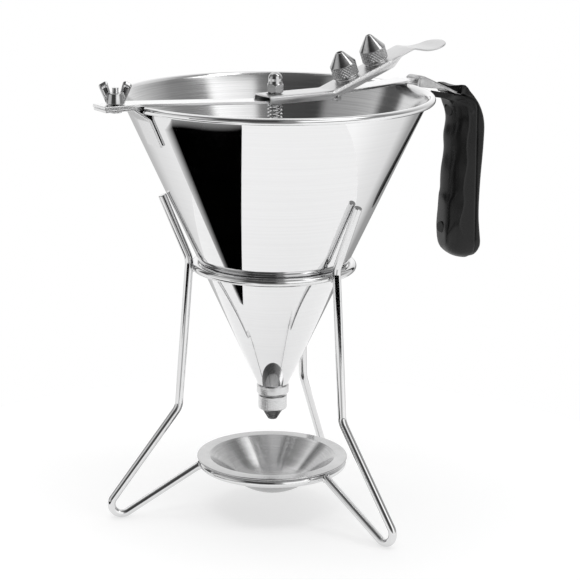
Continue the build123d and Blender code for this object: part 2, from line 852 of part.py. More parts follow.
# Grip screws: two screws from the finger side, through the tang into the palm half
screw_head_radius = 3.1
screw_head_height = 2.4
screw_radius = 1.8
screw_tip = 151.8
head_start = plug_height + fixed_gap
head_end = head_start + screw_head_height
with BuildPart() as grip_screws:
    for screw_z, plug_x in plug_faces.items():
        with BuildSketch(Plane.YZ.offset(plug_x + head_start)):
            with Locations((0, screw_z)):
                Circle(screw_head_radius)
        extrude(amount=screw_head_height)
        with BuildSketch(Plane.YZ.offset(plug_x + head_end)):
            with Locations((0, screw_z)):
                Circle(screw_radius)
        extrude(amount=screw_tip - plug_x - head_end)
grip_screws.part.label = "grip_screws"
export_step(grip_screws.part, "parts/grip_screws.step")

# Grip finger half: the inner side of the handle, with a prong on one side of the tang
recess_start = 8.0
prong_root = 124.0
prong_inner = -tang_width / 2 - body_gap
prong_cut = 30.0
with BuildPart() as grip_finger_half:
    add(grip_blank())
    add(palm_region(), mode=Mode.SUBTRACT)
    with BuildSketch(Plane.XY.offset(nose_low[1])):
        with Locations((prong_root - prong_cut / 2, prong_inner + prong_cut / 2)):
            Rectangle(prong_cut, prong_cut)
    extrude(amount=prong_cut / 2, both=True, mode=Mode.SUBTRACT)
    add(tang_strip(tang_sheet + 2 * pocket_gap, tang_width + 2 * pocket_gap), mode=Mode.SUBTRACT)
    for screw_z, plug_x in plug_faces.items():
        with BuildSketch(Plane.YZ.offset(plug_x - recess_start)):
            with Locations((0, screw_z)):
                Circle(plug_radius + fixed_gap)
        extrude(amount=recess_start + head_end + fixed_gap, mode=Mode.SUBTRACT)
        with BuildSketch(Plane.YZ.offset(plug_x)):
            with Locations((0, screw_z)):
                Circle(screw_radius + running_gap)
        extrude(amount=screw_tip - plug_x, mode=Mode.SUBTRACT)
grip_finger_half.part.label = "grip_finger_half"
export_step(grip_finger_half.part, "parts/grip_finger_half.step")

# Grip palm half: cap over the tang and down the back of the handle, with a slanting front edge
lip_middle = 130.45
lip_lean = 2.45
lip_cut = 50.0
with BuildPart() as grip_palm_half:
    add(grip_blank())
    add(palm_region(), mode=Mode.INTERSECT)
    with BuildSketch(Plane.XY.offset(lip_end[1])):
        with BuildLine():
            Polyline(
                (lip_middle + 2 * lip_lean, -2 * grip_half_width),
                (lip_middle - 2 * lip_lean, 2 * grip_half_width),
                (lip_middle - lip_cut, 2 * grip_half_width),
                (lip_middle - lip_cut, -2 * grip_half_width),
                close=True,
            )
        make_face()
    extrude(amount=lip_cut / 2, both=True, mode=Mode.SUBTRACT)
    add(tang_strip(tang_sheet + 2 * pocket_gap, tang_width + 2 * pocket_gap), mode=Mode.SUBTRACT)
    for screw_z in screw_heights:
        with BuildSketch(Plane.YZ.offset(screw_tip + running_gap)):
            with Locations((0, screw_z)):
                Circle(screw_radius + running_gap)
        extrude(amount=-recess_start, mode=Mode.SUBTRACT)
grip_palm_half.part.label = "grip_palm_half"
export_step(grip_palm_half.part, "parts/grip_palm_half.step")
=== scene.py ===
import math
import bmesh
import bpy
import numpy as np
from mathutils import Matrix, Vector


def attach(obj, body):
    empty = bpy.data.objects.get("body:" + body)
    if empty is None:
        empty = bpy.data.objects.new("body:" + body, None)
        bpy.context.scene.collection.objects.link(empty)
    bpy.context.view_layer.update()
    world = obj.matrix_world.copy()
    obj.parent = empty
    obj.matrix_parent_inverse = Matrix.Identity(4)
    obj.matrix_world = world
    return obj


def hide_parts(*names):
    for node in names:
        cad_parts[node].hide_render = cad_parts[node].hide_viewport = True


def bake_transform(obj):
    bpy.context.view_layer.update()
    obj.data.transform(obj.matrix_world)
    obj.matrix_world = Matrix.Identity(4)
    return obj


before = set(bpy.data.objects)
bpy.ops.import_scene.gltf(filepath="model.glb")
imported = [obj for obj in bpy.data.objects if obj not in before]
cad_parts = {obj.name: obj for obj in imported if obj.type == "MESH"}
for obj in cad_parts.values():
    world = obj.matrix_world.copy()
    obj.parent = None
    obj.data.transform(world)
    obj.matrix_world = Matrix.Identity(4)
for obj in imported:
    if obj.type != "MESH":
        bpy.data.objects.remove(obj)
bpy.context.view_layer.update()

# Studio: a white table, a lit white backdrop and a surround of soft boxes and dark flags, as product shots
# of bright steel are lit. The camera stands where the photograph was taken from. None of this is part of
# the funnel.
camera_place = Vector((-0.6475, -0.9809, 0.4358))
view_heading = Vector((0.558, 0.8299, 0.0)).normalized()
view_right = Vector((view_heading.y, -view_heading.x, 0.0))
view_drop = math.radians(14.16)
view_roll = math.radians(0.606)
sight = view_heading * math.cos(view_drop) - Vector((0.0, 0.0, 1.0)) * math.sin(view_drop)
camera_turn = Matrix((view_right, view_right.cross(sight), -sight)).transposed().to_4x4()
camera = bpy.data.objects.new("studio_camera", bpy.data.cameras.new("studio_camera"))
camera.data.lens = 124.16
camera.data.sensor_width = 36.0
camera.matrix_world = Matrix.Translation(camera_place) @ camera_turn @ Matrix.Rotation(view_roll, 4, "Z")
bpy.context.collection.objects.link(camera)
bpy.context.scene.camera = camera
bpy.context.scene.view_settings.view_transform = "Standard"


def feed_inputs(tree, node, sources):
    """Feeds a node's inputs, by name or number, with values or with other nodes' sockets."""
    for key, source in sources.items():
        if isinstance(source, bpy.types.NodeSocket):
            tree.links.new(source, node.inputs[key])
        else:
            node.inputs[key].default_value = source


def linked_node(tree, kind, *sources, **settings):
    """A new node with its settings, fed by sources in the order of its inputs."""
    node = tree.nodes.new(kind)
    for key, value in settings.items():
        setattr(node, key, value)
    feed_inputs(tree, node, dict(enumerate(sources)))
    return node


def brightness_round(tree, bearing, stops):
    """Grey level by compass bearing: 0 towards the camera, 90 to its right, 180 behind the object."""
    ramp = linked_node(tree, "ShaderNodeValToRGB", bearing)
    elements = ramp.color_ramp.elements
    while len(elements) < len(stops):
        elements.new(1.0)
    for element, (degrees, level) in zip(elements, stops):
        element.position = (degrees + 180.0) / 360.0
        element.color = (level, level, level, 1.0)
    return ramp.outputs["Color"]


# Bearing and brightness of the soft boxes and flags, in four bands from below the table's edge to overhead.
low_surround = [
    (-180, 0.5), (-156, 0.58), (-138, 0.85), (-117, 0.96), (-75, 1.0), (-26, 1.04), (-15, 0.48), (13, 0.48),
    (24, 1.05), (58, 1.15), (82, 1.15), (110, 0.95), (132, 0.85), (148, 0.38), (174, 0.3), (180, 0.5),
]
skyline_surround = [
    (-180, 1.15), (-150, 1.0), (-128, 0.85), (-121, 0.1), (-104, 0.1), (-97, 0.72), (-62, 0.72), (-50, 0.45),
    (-40, 0.07), (2, 0.06), (8, 0.28), (15, 0.32), (21, 1.2), (58, 1.2), (68, 0.36), (100, 0.3), (115, 0.45),
    (138, 0.7), (158, 0.95), (180, 1.15),
]
middle_surround = [
    (-180, 1.0), (-139, 1.05), (-134, 0.45), (-129, 0.45), (-122, 0.08), (-103, 0.08), (-97, 0.4),
    (-50, 0.36), (-42, 0.05), (2, 0.05), (8, 0.28), (15, 0.3), (21, 1.35), (58, 1.35), (66, 0.25),
    (100, 0.25), (114, 0.45), (132, 0.75), (150, 0.95), (180, 1.0),
]
high_surround = [
    (-180, 0.75), (-150, 1.0), (-138, 1.0), (-134, 0.45), (-130, 0.45), (-127, 1.6), (-114, 1.6),
    (-108, 0.4), (-101, 0.36), (-88, 0.32), (-64, 0.16), (-50, 0.1), (5, 0.12), (25, 0.26), (62, 0.45),
    (65, 2.8), (89, 2.8), (93, 0.25), (113, 0.4), (122, 0.6), (135, 0.9), (180, 0.75),
]
world = bpy.data.worlds.new("studio_surround")
bpy.context.scene.world = world
world.use_nodes = True
surround = world.node_tree
surround.nodes.clear()
heading = linked_node(surround, "ShaderNodeTexCoord").outputs["Generated"]
towards = linked_node(surround, "ShaderNodeVectorMath", heading, -view_heading, operation="DOT_PRODUCT")
across = linked_node(surround, "ShaderNodeVectorMath", heading, view_right, operation="DOT_PRODUCT")
bearing_angle = linked_node(
    surround, "ShaderNodeMath", across.outputs["Value"], towards.outputs["Value"], operation="ARCTAN2"
)
bearing = linked_node(surround, "ShaderNodeMapRange", bearing_angle.outputs[0], -math.pi, math.pi).outputs[0]
height = linked_node(surround, "ShaderNodeSeparateXYZ", heading).outputs["Z"]
above_table = linked_node(surround, "ShaderNodeMapRange", height, -0.07, 0.03).outputs[0]
half_way_up = linked_node(surround, "ShaderNodeMapRange", height, 0.4, 0.5).outputs[0]
overhead = linked_node(surround, "ShaderNodeMapRange", height, 0.63, 0.71).outputs[0]
level = brightness_round(surround, bearing, low_surround)
layers = ((above_table, skyline_surround), (half_way_up, middle_surround), (overhead, high_surround))
for share, stops in layers:
    layer = linked_node(surround, "ShaderNodeMix", data_type="RGBA")
    layer_level = brightness_round(surround, bearing, stops)
    feed_inputs(surround, layer, {"Factor": share, "A": level, "B": layer_level})
    level = layer.outputs["Result"]
seen = linked_node(surround, "ShaderNodeLightPath").outputs["Is Camera Ray"]
studio_light = linked_node(surround, "ShaderNodeBackground", level).outputs[0]
white_backdrop = linked_node(surround, "ShaderNodeBackground", (1, 1, 1, 1)).outputs[0]
shown = linked_node(surround, "ShaderNodeMixShader", seen, studio_light, white_backdrop).outputs[0]
linked_node(surround, "ShaderNodeOutputWorld", shown)


def set_piece(name, corners, faces):
    """An object of the set, in metres, that stays out of the funnel's own list of pieces."""
    mesh = bpy.data.meshes.new(name)
    mesh.from_pydata(corners, [], faces)
    thing = bpy.data.objects.new(name, mesh)
    bpy.context.collection.objects.link(thing)
    return thing


def circle_points(centre, radius, start, end, count):
    """Points along an arc in a plane, from start to end in degrees."""
    angles = (math.radians(start + (end - start) * k / count) for k in range(count + 1))
    return [(centre[0] + radius * math.cos(angle), centre[1] + radius * math.sin(angle)) for angle in angles]


table_reach = 0.28
table_sides = 96
table_rim = [(x, y, 0.0) for x, y in circle_points((0.0, 0.0), table_reach, 0, 360, table_sides)[:-1]]
table = set_piece("table_top", table_rim, [list(range(table_sides))])
table_white = bpy.data.materials.new("table_white")
table_white.use_nodes = True
table_shader = table_white.node_tree.nodes["Principled BSDF"]
table_shader.inputs["Base Color"].default_value = (0.48, 0.48, 0.48, 1)
table_shader.inputs["Roughness"].default_value = 0.9
table_shader.inputs["Specular IOR Level"].default_value = 0.0
table_shader.inputs["Emission Color"].default_value = (1, 1, 1, 1)
table_shader.inputs["Emission Strength"].default_value = 0.565
table.data.materials.append(table_white)

# Dark cards: black paper laid on the floor, seen in reflections only. The one left of the funnel is what the
# cone shows as a black wedge, and it fades out at its far edges. The one in front is what darkens the
# handle's finger side.
card_lift = 0.0006
card_steps = 40
wedge_edge = circle_points((0.1396, 0.1151), 0.4248, 169.2, 213.7, card_steps)
wedge_fade = circle_points((0.1164, 0.1101), 0.4128, 170.1, 215.2, card_steps)
wedge_tip = (-0.1235, 0.033)
soft_side = [(-0.1265, 0.055), (-0.257, 0.268)]
front_card = [
    (0.36, -0.73), (0.6, -0.78), (0.64, -0.97), (0.58, -1.3), (1.2, -1.05), (1.7, -1.5), (0.8, -2.1),
    (-0.9, -1.9), (-1.98, -0.97), (-2.2, 0.15), (-0.65, 0.044), (-0.584, -0.286), (-0.408, -0.506),
    (-0.23, -0.7),
]
full_shade = 1.0
faded_shade = 0.55
no_shade = 0.0
card_corners = wedge_edge + wedge_fade + [wedge_tip] + soft_side + front_card
edge_count = card_steps + 1
card_shade = [full_shade] * edge_count + [faded_shade] * edge_count
card_shade += [full_shade, no_shade, no_shade] + [full_shade] * len(front_card)
tip_corner = 2 * edge_count
card_faces = [
    (*range(edge_count), tip_corner),
    (tip_corner, tip_corner + 1, tip_corner + 2, 0),
    (0, tip_corner + 2, edge_count),
    tuple(range(tip_corner + 3, len(card_corners))),
]
card_faces += [(k, k + edge_count, k + edge_count + 1, k + 1) for k in range(card_steps)]
card = set_piece("dark_cards", [(x, y, card_lift) for x, y in card_corners], card_faces)
shade_values = card.data.attributes.new("shade", "FLOAT", "POINT")
shade_values.data.foreach_set("value", card_shade)
card_black = bpy.data.materials.new("card_black")
card_black.use_nodes = True
card_tree = card_black.node_tree
card_tree.nodes.clear()
card_share = linked_node(card_tree, "ShaderNodeAttribute", attribute_name="shade").outputs["Fac"]
card_clear = linked_node(card_tree, "ShaderNodeBsdfTransparent").outputs[0]
card_dark = linked_node(card_tree, "ShaderNodeBsdfDiffuse", (0, 0, 0, 1)).outputs[0]
card_mix = linked_node(card_tree, "ShaderNodeMixShader", card_share, card_clear, card_dark).outputs[0]
linked_node(card_tree, "ShaderNodeOutputMaterial", card_mix)
card.data.materials.append(card_black)
card.visible_camera = False
card.visible_diffuse = False
card.visible_shadow = False
card.visible_transmission = False

# Top soft box: one broad lamp high over the table, the only lamp of the studio. It is kept out of
# reflections, which show the surround alone.
top_box = bpy.data.objects.new("top_soft_box", bpy.data.lights.new("top_soft_box", "AREA"))
top_box.data.size = 1.1
top_box.data.energy = 9.0
top_box.location = (-0.2, -0.1, 1.3)
top_box.visible_camera = False
top_box.visible_glossy = False
bpy.context.collection.objects.link(top_box)

# Stand legs: three 5 mm steel wires, bent cold and chrome plated. Each starts at a sheared end that leans on
# the cone, passes the seat ring, bends at a knee, turns at the foot and runs back up to the bowl ring.
MM = 0.001
same_point = 1e-4
wire_radius = 2.5
wire_sides = 40
leg_turns = {"left": 159.0, "right": 282.0, "rear": 37.2}
leg_top = (67.9, 200.4)
leg_bend = (51.6, 160.6)
leg_knee = (58.3, 68.8)
leg_inner_end = (46.0, 30.4)
leg_radii = (15.0, 12.0)
foot_centre = Vector((93.6, 9.0))
foot_radius = 6.5
foot_steps = 44
sheared_edge = 0.35


def mottling(tree, place, scale, detail, roughness=0.5):
    """Uneven marks over a surface, from 0 to 1."""
    marks = linked_node(tree, "ShaderNodeTexNoise", place)
    feed_inputs(tree, marks, {"Scale": scale, "Detail": detail, "Roughness": roughness})
    return marks.outputs["Fac"]


def relief_of(tree, marks, strength, depth):
    """Fine relief that follows marks, with its depth in millimetres."""
    relief = linked_node(tree, "ShaderNodeBump")
    feed_inputs(tree, relief, {"Strength": strength, "Distance": depth * MM, "Height": marks})
    return relief.outputs[0]


def brushed_steel(name, greys, roughness, grain, bump=0.0, stretch=0.0, smudge=0.03):
    """Bright steel: grain is how fine its marks are along X, Y and Z, smudge how much handling dulls it."""
    finish = bpy.data.materials.new(name)
    finish.use_nodes = True
    tree = finish.node_tree
    shader = tree.nodes["Principled BSDF"]
    shader.inputs["Metallic"].default_value = 1.0
    place = linked_node(tree, "ShaderNodeTexCoord").outputs["Object"]
    marks_at = linked_node(tree, "ShaderNodeVectorMath", place, grain, operation="MULTIPLY").outputs[0]
    marks = mottling(tree, marks_at, 1.0, 4.0, 0.62)
    worn = mottling(tree, place, 42.0, 3.0)
    greys_ramp = linked_node(tree, "ShaderNodeValToRGB", marks)
    for element, position, grey in zip(greys_ramp.color_ramp.elements, (0.3, 0.7), greys):
        element.position = position
        element.color = (grey, grey, grey * 1.004, 1.0)
    tree.links.new(greys_ramp.outputs["Color"], shader.inputs["Base Color"])
    dull = linked_node(tree, "ShaderNodeMapRange", marks, 0.3, 0.7, *roughness).outputs[0]
    wiped = linked_node(tree, "ShaderNodeMapRange", worn, 0.35, 0.75, 0.0, smudge).outputs[0]
    total = linked_node(tree, "ShaderNodeMath", dull, wiped, operation="ADD").outputs[0]
    tree.links.new(total, shader.inputs["Roughness"])
    if bump:
        tree.links.new(relief_of(tree, marks, bump, 0.02), shader.inputs["Normal"])
    if stretch:
        shader.inputs["Anisotropic"].default_value = stretch
        shader.inputs["Anisotropic Rotation"].default_value = 0.25
        around = linked_node(tree, "ShaderNodeTangent", direction_type="RADIAL", axis="Z")
        tree.links.new(around.outputs[0], shader.inputs["Tangent"])
    return finish


def rounded_path(corners, radii, step=math.radians(3.0)):
    """An open line in a plane: straight runs, with an arc of its own radius at each inner corner."""
    path = [Vector(corners[0])]
    for before, corner, after, radius in zip(corners, corners[1:], corners[2:], radii):
        corner = Vector(corner)
        back = (Vector(before) - corner).normalized()
        ahead = (Vector(after) - corner).normalized()
        half = back.angle(ahead) / 2
        centre = corner + (back + ahead).normalized() * radius / math.sin(half)
        first = corner + back * radius / math.tan(half) - centre
        last = corner + ahead * radius / math.tan(half) - centre
        turn = math.atan2(first.x * last.y - first.y * last.x, first.dot(last))
        start = math.atan2(first.y, first.x)
        count = max(2, math.ceil(abs(turn) / step))
        for k in range(count + 1):
            angle = start + turn * k / count
            path.append(centre + radius * Vector((math.cos(angle), math.sin(angle))))
    path.append(Vector(corners[-1]))
    return path


def headings_along(path):
    """Unit direction of a line at each of its points."""
    ahead = path[1:] + path[-1:]
    behind = path[:1] + path[:-1]
    return [(later - earlier).normalized() for later, earlier in zip(ahead, behind)]


def loft(rings):
    """Points and faces of a skin over rings of points, with a face over each end."""
    count = len(rings[0])
    points = [point for ring in rings for point in ring]
    faces = []
    for row in range(len(rings) - 1):
        for k in range(count):
            after = (k + 1) % count
            here = row * count
            faces.append((here + k, here + after, here + count + after, here + count + k))
    faces.append(tuple(range(count)))
    faces.append(tuple(range(len(points) - count, len(points))))
    return points, faces


def clean_mesh(name, skin):
    """Mesh in metres of a skin in millimetres, without doubled points and with its faces turned outwards."""
    points, faces = skin
    mesh = bpy.data.meshes.new(name)
    mesh.from_pydata([Vector(point) * MM for point in points], [], faces)
    work = bmesh.new()
    work.from_mesh(mesh)
    bmesh.ops.remove_doubles(work, verts=work.verts, dist=same_point * MM)
    bmesh.ops.dissolve_degenerate(work, edges=work.edges, dist=same_point * MM)
    bmesh.ops.recalc_face_normals(work, faces=work.faces)
    work.to_mesh(mesh)
    work.free()
    return mesh


def smoothed(mesh, crease):
    """Shades a mesh smooth but for edges sharper than crease, in degrees."""
    mesh.shade_smooth()
    mesh.set_sharp_from_angle(angle=math.radians(crease))


def new_piece(name, skin, finish, body, stands_for=(), crease=35.0):
    """A piece of the funnel from its skin, riding on a body in place of the CAD nodes it stands for."""
    mesh = clean_mesh(name, skin)
    smoothed(mesh, crease)
    mesh.materials.append(finish)
    piece = bpy.data.objects.new(name, mesh)
    bpy.context.collection.objects.link(piece)
    if body:
        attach(piece, body)
    if stands_for:
        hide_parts(*stands_for)
    return piece


def touch_angle(point, side):
    """Bearing in degrees from the foot's centre at which a straight run from point meets the foot's bend."""
    away = Vector(point) - foot_centre
    return math.degrees(math.atan2(away.y, away.x) + side * math.acos(foot_radius / away.length))


def leg_ways(turn):
    """Unit directions outwards and sideways of the leg at a turn about Z, in degrees."""
    out = Vector((math.cos(math.radians(turn)), math.sin(math.radians(turn)), 0.0))
    return out, Vector((out.y, -out.x, 0.0))


def wire_rings(path, out, side):
    """Round rings along a wire that is bent in the plane of out and Z, with sheared ends."""
    rings = []
    headings = headings_along(path)
    first_in = path[0] + headings[0] * sheared_edge
    last_in = path[-1] - headings[-1] * sheared_edge
    stations = [(path[0], headings[0], wire_radius - sheared_edge), (first_in, headings[0], wire_radius)]
    stations += [(place, way, wire_radius) for place, way in zip(path[1:-1], headings[1:-1])]
    stations += [(last_in, headings[-1], wire_radius), (path[-1], headings[-1], wire_radius - sheared_edge)]
    for place, way, radius in stations:
        square = out * -way.y + Vector((0, 0, way.x))
        middle = out * place.x + Vector((0, 0, place.y))
        rings.append([
            middle + square * radius * math.cos(turn) + side * radius * math.sin(turn)
            for turn in (2 * math.pi * k / wire_sides for k in range(wire_sides))
        ])
    return rings


chrome_wire = brushed_steel("chrome_wire", (0.73, 0.77), (0.05, 0.09), (220.0, 220.0, 90.0), smudge=0.02)
foot_in = touch_angle(leg_knee, -1)
foot_out = touch_angle(leg_inner_end, 1) - 360.0
foot_arc = [Vector(spot) for spot in circle_points(foot_centre, foot_radius, foot_in, foot_out, foot_steps)]
leg_line = rounded_path([leg_top, leg_bend, leg_knee, foot_arc[0]], leg_radii)[:-1] + foot_arc
leg_line.append(Vector(leg_inner_end))
for leg_name, leg_turn in leg_turns.items():
    leg_node = f"stand_leg_{leg_name}"
    leg_skin = loft(wire_rings(leg_line, *leg_ways(leg_turn)))
    new_piece(f"leg_wire_{leg_name}", leg_skin, chrome_wire, "stand", [leg_node])

# Seat ring and bowl ring: the same wire rolled into two hoops, butt welded and ground before plating. The
# cone sits in the upper hoop, the drip bowl's flange on the lower one.
hoops = {"seat_hoop": (47.4, 155.3, "stand_ring"), "bowl_hoop": (43.5, 30.6, "bowl_ring")}
hoop_steps = 240


def spun(loop, steps, reach=None):
    """Skin of a closed outline of (radius, height) turned about Z; reach may shape each radius."""
    points = []
    rows = []
    for radius, height in loop:
        if radius < 1e-6:
            rows.append([len(points)] * steps)
            points.append((0.0, 0.0, height))
            continue
        rows.append(list(range(len(points), len(points) + steps)))
        for k in range(steps):
            angle = 2 * math.pi * k / steps
            real = reach(radius, height, angle) if reach else radius
            points.append((real * math.cos(angle), real * math.sin(angle), height))
    faces = []
    for low, high in zip(rows, rows[1:] + rows[:1]):
        for k in range(steps):
            after = (k + 1) % steps
            corners = dict.fromkeys((low[k], low[after], high[after], high[k]))
            if len(corners) > 2:
                faces.append(tuple(corners))
    return points, faces


for hoop_name, (hoop_radius, hoop_height, hoop_node) in hoops.items():
    hoop_section = circle_points((hoop_radius, hoop_height), wire_radius, 0, 360, wire_sides)[:-1]
    new_piece(hoop_name, spun(hoop_section, hoop_steps), chrome_wire, "stand", [hoop_node])

# Weld beads: small lumps of steel on both sides of each joint of leg and hoop, left by the resistance weld
# and plated over with the wire. Each contact is given as its place outwards, sideways and up.
bead_long = 2.3
bead_high = 0.95
bead_lumps = 0.16
bead_steps = 20
seat_contact = (49.7, 1.7, 155.3)
bowl_contact = (45.9, 1.9, 30.2)


def lump(middle, long_way, out_way, seed):
    """A low rounded bead, longer along long_way, with an uneven surface."""
    up_way = long_way.cross(out_way)
    rings = []
    for row in range(1, bead_steps):
        tilt = math.pi * row / bead_steps
        ring = []
        for k in range(bead_steps):
            turn = 2 * math.pi * k / bead_steps
            swell = 1 + bead_lumps * math.sin(3 * turn + seed) * math.sin(2 * tilt + 2 * seed)
            ring.append(
                middle + long_way * bead_long * math.cos(tilt)
                + (out_way * math.cos(turn) + up_way * math.sin(turn)) * bead_high * math.sin(tilt) * swell
            )
        rings.append(ring)
    return loft(rings)


def joined(skins):
    """Several skins as one."""
    points = []
    faces = []
    for skin_points, skin_faces in skins:
        start = len(points)
        points += list(skin_points)
        faces += [tuple(index + start for index in face) for face in skin_faces]
    return points, faces


beads = []
upright = Vector((0.0, 0.0, 1.0))
for leg_turn in leg_turns.values():
    out, side = leg_ways(leg_turn)
    for sign in (1, -1):
        for contact, seed in ((seat_contact, leg_turn + sign), (bowl_contact, leg_turn - sign)):
            bead_middle = out * contact[0] + side * contact[1] * sign + upright * contact[2]
            beads.append(lump(bead_middle, upright, out, seed))
new_piece("weld_beads", joined(beads), chrome_wire, "stand")

# Drip bowl: pressed from 1 mm stainless sheet, a cone with a round floor and a flat flange. The inside is
# ground in circles, which gives its light and dark sectors; it lifts out of the lower hoop.
bowl_floor_middle = (0.0, 48.5)
bowl_floor_radius = 37.0
bowl_floor_steps = 24
bowl_sheet = 1.0
bowl_wall = 41.0
bowl_wall_rows = 8
flange_under = 33.4
flange_top = 34.4
flange_radius = 46.3
flange_rounds = (0.5, 0.42, 0.42, 1.6)
bowl_steps = 240
coarse_step = math.radians(9.0)


def bowl_side(radius, mouth_height):
    """Floor arc and straight wall of one face of the bowl, from the axis to its mouth."""
    arc = circle_points(bowl_floor_middle, radius, 270, 270 + bowl_wall, bowl_floor_steps)
    arc[0] = (0.0, arc[0][1])
    wall_foot, foot_height = arc[-1]
    mouth = wall_foot + (mouth_height - foot_height) / math.tan(math.radians(bowl_wall))
    shares = [k / bowl_wall_rows for k in range(1, bowl_wall_rows)]
    wall = [
        (wall_foot + (mouth - wall_foot) * share, foot_height + (mouth_height - foot_height) * share)
        for share in shares
    ]
    return arc + wall, (mouth, mouth_height)


under_side, under_mouth = bowl_side(bowl_floor_radius, flange_under)
upper_side, upper_mouth = bowl_side(bowl_floor_radius - bowl_sheet, flange_top)
flange_edge = [upper_side[-1], upper_mouth, (flange_radius, flange_top), (flange_radius, flange_under)]
flange_edge += [under_mouth, under_side[-1]]
flange_line = [tuple(point) for point in rounded_path(flange_edge, flange_rounds, coarse_step)]
bowl_skin = spun(upper_side + flange_line[1:-1] + under_side[::-1], bowl_steps)
bowl_steel = brushed_steel(
    "bowl_steel", (0.46, 0.56), (0.15, 0.19), (60.0, 60.0, 2600.0), bump=0.07, stretch=1.0
)
new_piece("bowl_shell", bowl_skin, bowl_steel, "bowl", ["drip_bowl"], crease=50.0)

# Funnel cone: stainless sheet spun over a former, mirror polished outside and left with its spinning marks
# inside. The rim is rolled over into a bead.
cone_slope = 0.463
cone_apex = 60.4
cone_sheet = 0.8
cone_foot = 78.0
rim_middle = (92.9, 257.2)
rim_radius = 2.05
rim_turn_in = rim_middle[1]
rim_arc = (140.0, -158.0)
rim_arc_steps = 52
rim_arc_way = Vector((0.643, 0.766))
turn_over_ease = 0.5
turn_over_steps = 6
crevice_height = 256.55
crevice_gap = 0.02
outer_wall_top = 256.2
polish_start = rim_turn_in + 1.0
cone_steps = 360
cone_rows = 40


def cone_outside(height):
    """Radius of the cone's outer face at a height."""
    return cone_slope * (height - cone_apex)


def cone_inside(height):
    """Radius of the cone's inner face at a height."""
    return cone_outside(height) - cone_sheet * math.hypot(1.0, cone_slope)


def eased_line(start, start_way, end, end_way, count):
    """A smooth line between two points that leaves and arrives along the given directions."""
    line = []
    for k in range(count + 1):
        t = k / count
        weights = ((1 - t) ** 3, 3 * t * (1 - t) ** 2, 3 * t * t * (1 - t), t**3)
        knots = (start, start + start_way, end - end_way, end)
        line.append(tuple(sum((weight * knot for weight, knot in zip(weights, knots)), Vector((0.0, 0.0)))))
    return line


up_wall = Vector((cone_slope, 1.0)).normalized()
inner_heights = [cone_foot + (rim_turn_in - cone_foot) * k / cone_rows for k in range(cone_rows + 1)]
inner_wall = [(cone_inside(height), height) for height in inner_heights]
bead_arc = circle_points(rim_middle, rim_radius, *rim_arc, rim_arc_steps)
turn_over = eased_line(
    Vector(inner_wall[-1]), up_wall * turn_over_ease, Vector(bead_arc[0]), rim_arc_way * turn_over_ease,
    turn_over_steps,
)
crevice = [(cone_outside(crevice_height) + crevice_gap, crevice_height)]
outer_wall = [(cone_outside(height), height) for height in [outer_wall_top] + inner_heights[::-1]]
cone_skin = spun(inner_wall + turn_over[1:-1] + bead_arc + crevice + outer_wall, cone_steps)
mirror_steel = brushed_steel("mirror_steel", (0.79, 0.82), (0.012, 0.03), (9.0, 9.0, 900.0), smudge=0.012)
spun_steel = brushed_steel(
    "spun_steel", (0.7, 0.84), (0.12, 0.18), (14.0, 14.0, 1500.0), bump=0.25, stretch=0.7
)
cone = new_piece("cone_shell", cone_skin, mirror_steel, "funnel", ["funnel_cone"])
cone.data.materials.append(spun_steel)
for face in cone.data.polygons:
    middle_radius = math.hypot(face.center.x, face.center.y) / MM
    middle_height = face.center.z / MM
    inside = middle_radius < cone_inside(middle_height) + cone_sheet / 2
    face.material_index = int(inside and middle_height < polish_start)

# Outlet spigot: a collar turned from steel bar and welded on the cone's end, with a threaded tube below it
# that the nozzle screws on.
collar_gap = 0.06
collar_top = 80.0
collar_seat = 77.94
collar_outline = [
    (cone_outside(collar_top) + collar_gap, collar_top), (9.8, collar_top), (9.8, 75.2), (8.5, 73.6),
    (6.5, 73.6), (6.5, 66.5), (5.0, 66.5), (5.0, 73.1), (cone_inside(cone_foot), collar_seat),
    (cone_outside(cone_foot) + collar_gap, collar_seat),
]
collar_rounds = (0.02, 0.35, 0.3, 0.25, 0.1, 0.4, 0.1, 0.1, 0.02, 0.02)
collar_steps = 128


def rounded_loop(corners, radii):
    """A closed outline with an arc at each corner."""
    around = [corners[-1]] + list(corners) + [corners[0]]
    return [tuple(point) for point in rounded_path(around, radii, coarse_step)[1:-1]]


turned_steel = brushed_steel("turned_steel", (0.68, 0.74), (0.24, 0.3), (40.0, 40.0, 3200.0), bump=0.04)
spigot_skin = spun(rounded_loop(collar_outline, collar_rounds), collar_steps)
new_piece(
    "outlet_collar", spigot_skin, turned_steel, "funnel", ["outlet_spigot"], crease=40.0
)

# Fitted nozzle: turned from steel bar, a finely ribbed barrel that screws on the spigot and a plain cone to
# the tip. The tip cone is given a darker steel, painted shade for the dark surroundings it reflects.
rib_count = 54
rib_depth = 0.07
rib_face = 8.6
rib_band = (65.6, 72.6)
tip_top = 63.6
turned_rows = 0.35
nozzle_outline = [
    (6.56, 73.3), (8.75, 73.3), (8.75, 65.2), (6.1, 63.5), (2.7, 58.0), (1.9, 58.0), (1.9, 59.5),
    (4.9, 64.3), (6.56, 65.8),
]
nozzle_rounds = (0.1, 0.45, 0.5, 0.3, 0.25, 0.15, 0.1, 0.1, 0.1)


def finely_divided(line, spacing):
    """The same line with its long runs cut into short even ones."""
    fine = [line[0]]
    for here, there in zip(line, line[1:]):
        count = max(1, math.ceil(math.dist(here, there) / spacing))
        fine += [tuple(a + (b - a) * k / count for a, b in zip(here, there)) for k in range(1, count + 1)]
    return fine


def finely_divided_loop(loop, spacing):
    """The same closed outline with its long runs cut into short even ones."""
    return finely_divided(loop + loop[:1], spacing)[:-1]


def ribbed(radius, height, angle):
    """Barrel radius with fine upright ribs."""
    if radius < rib_face or not rib_band[0] < height < rib_band[1]:
        return radius
    return radius - rib_depth * (0.5 + 0.5 * math.cos(rib_count * angle))
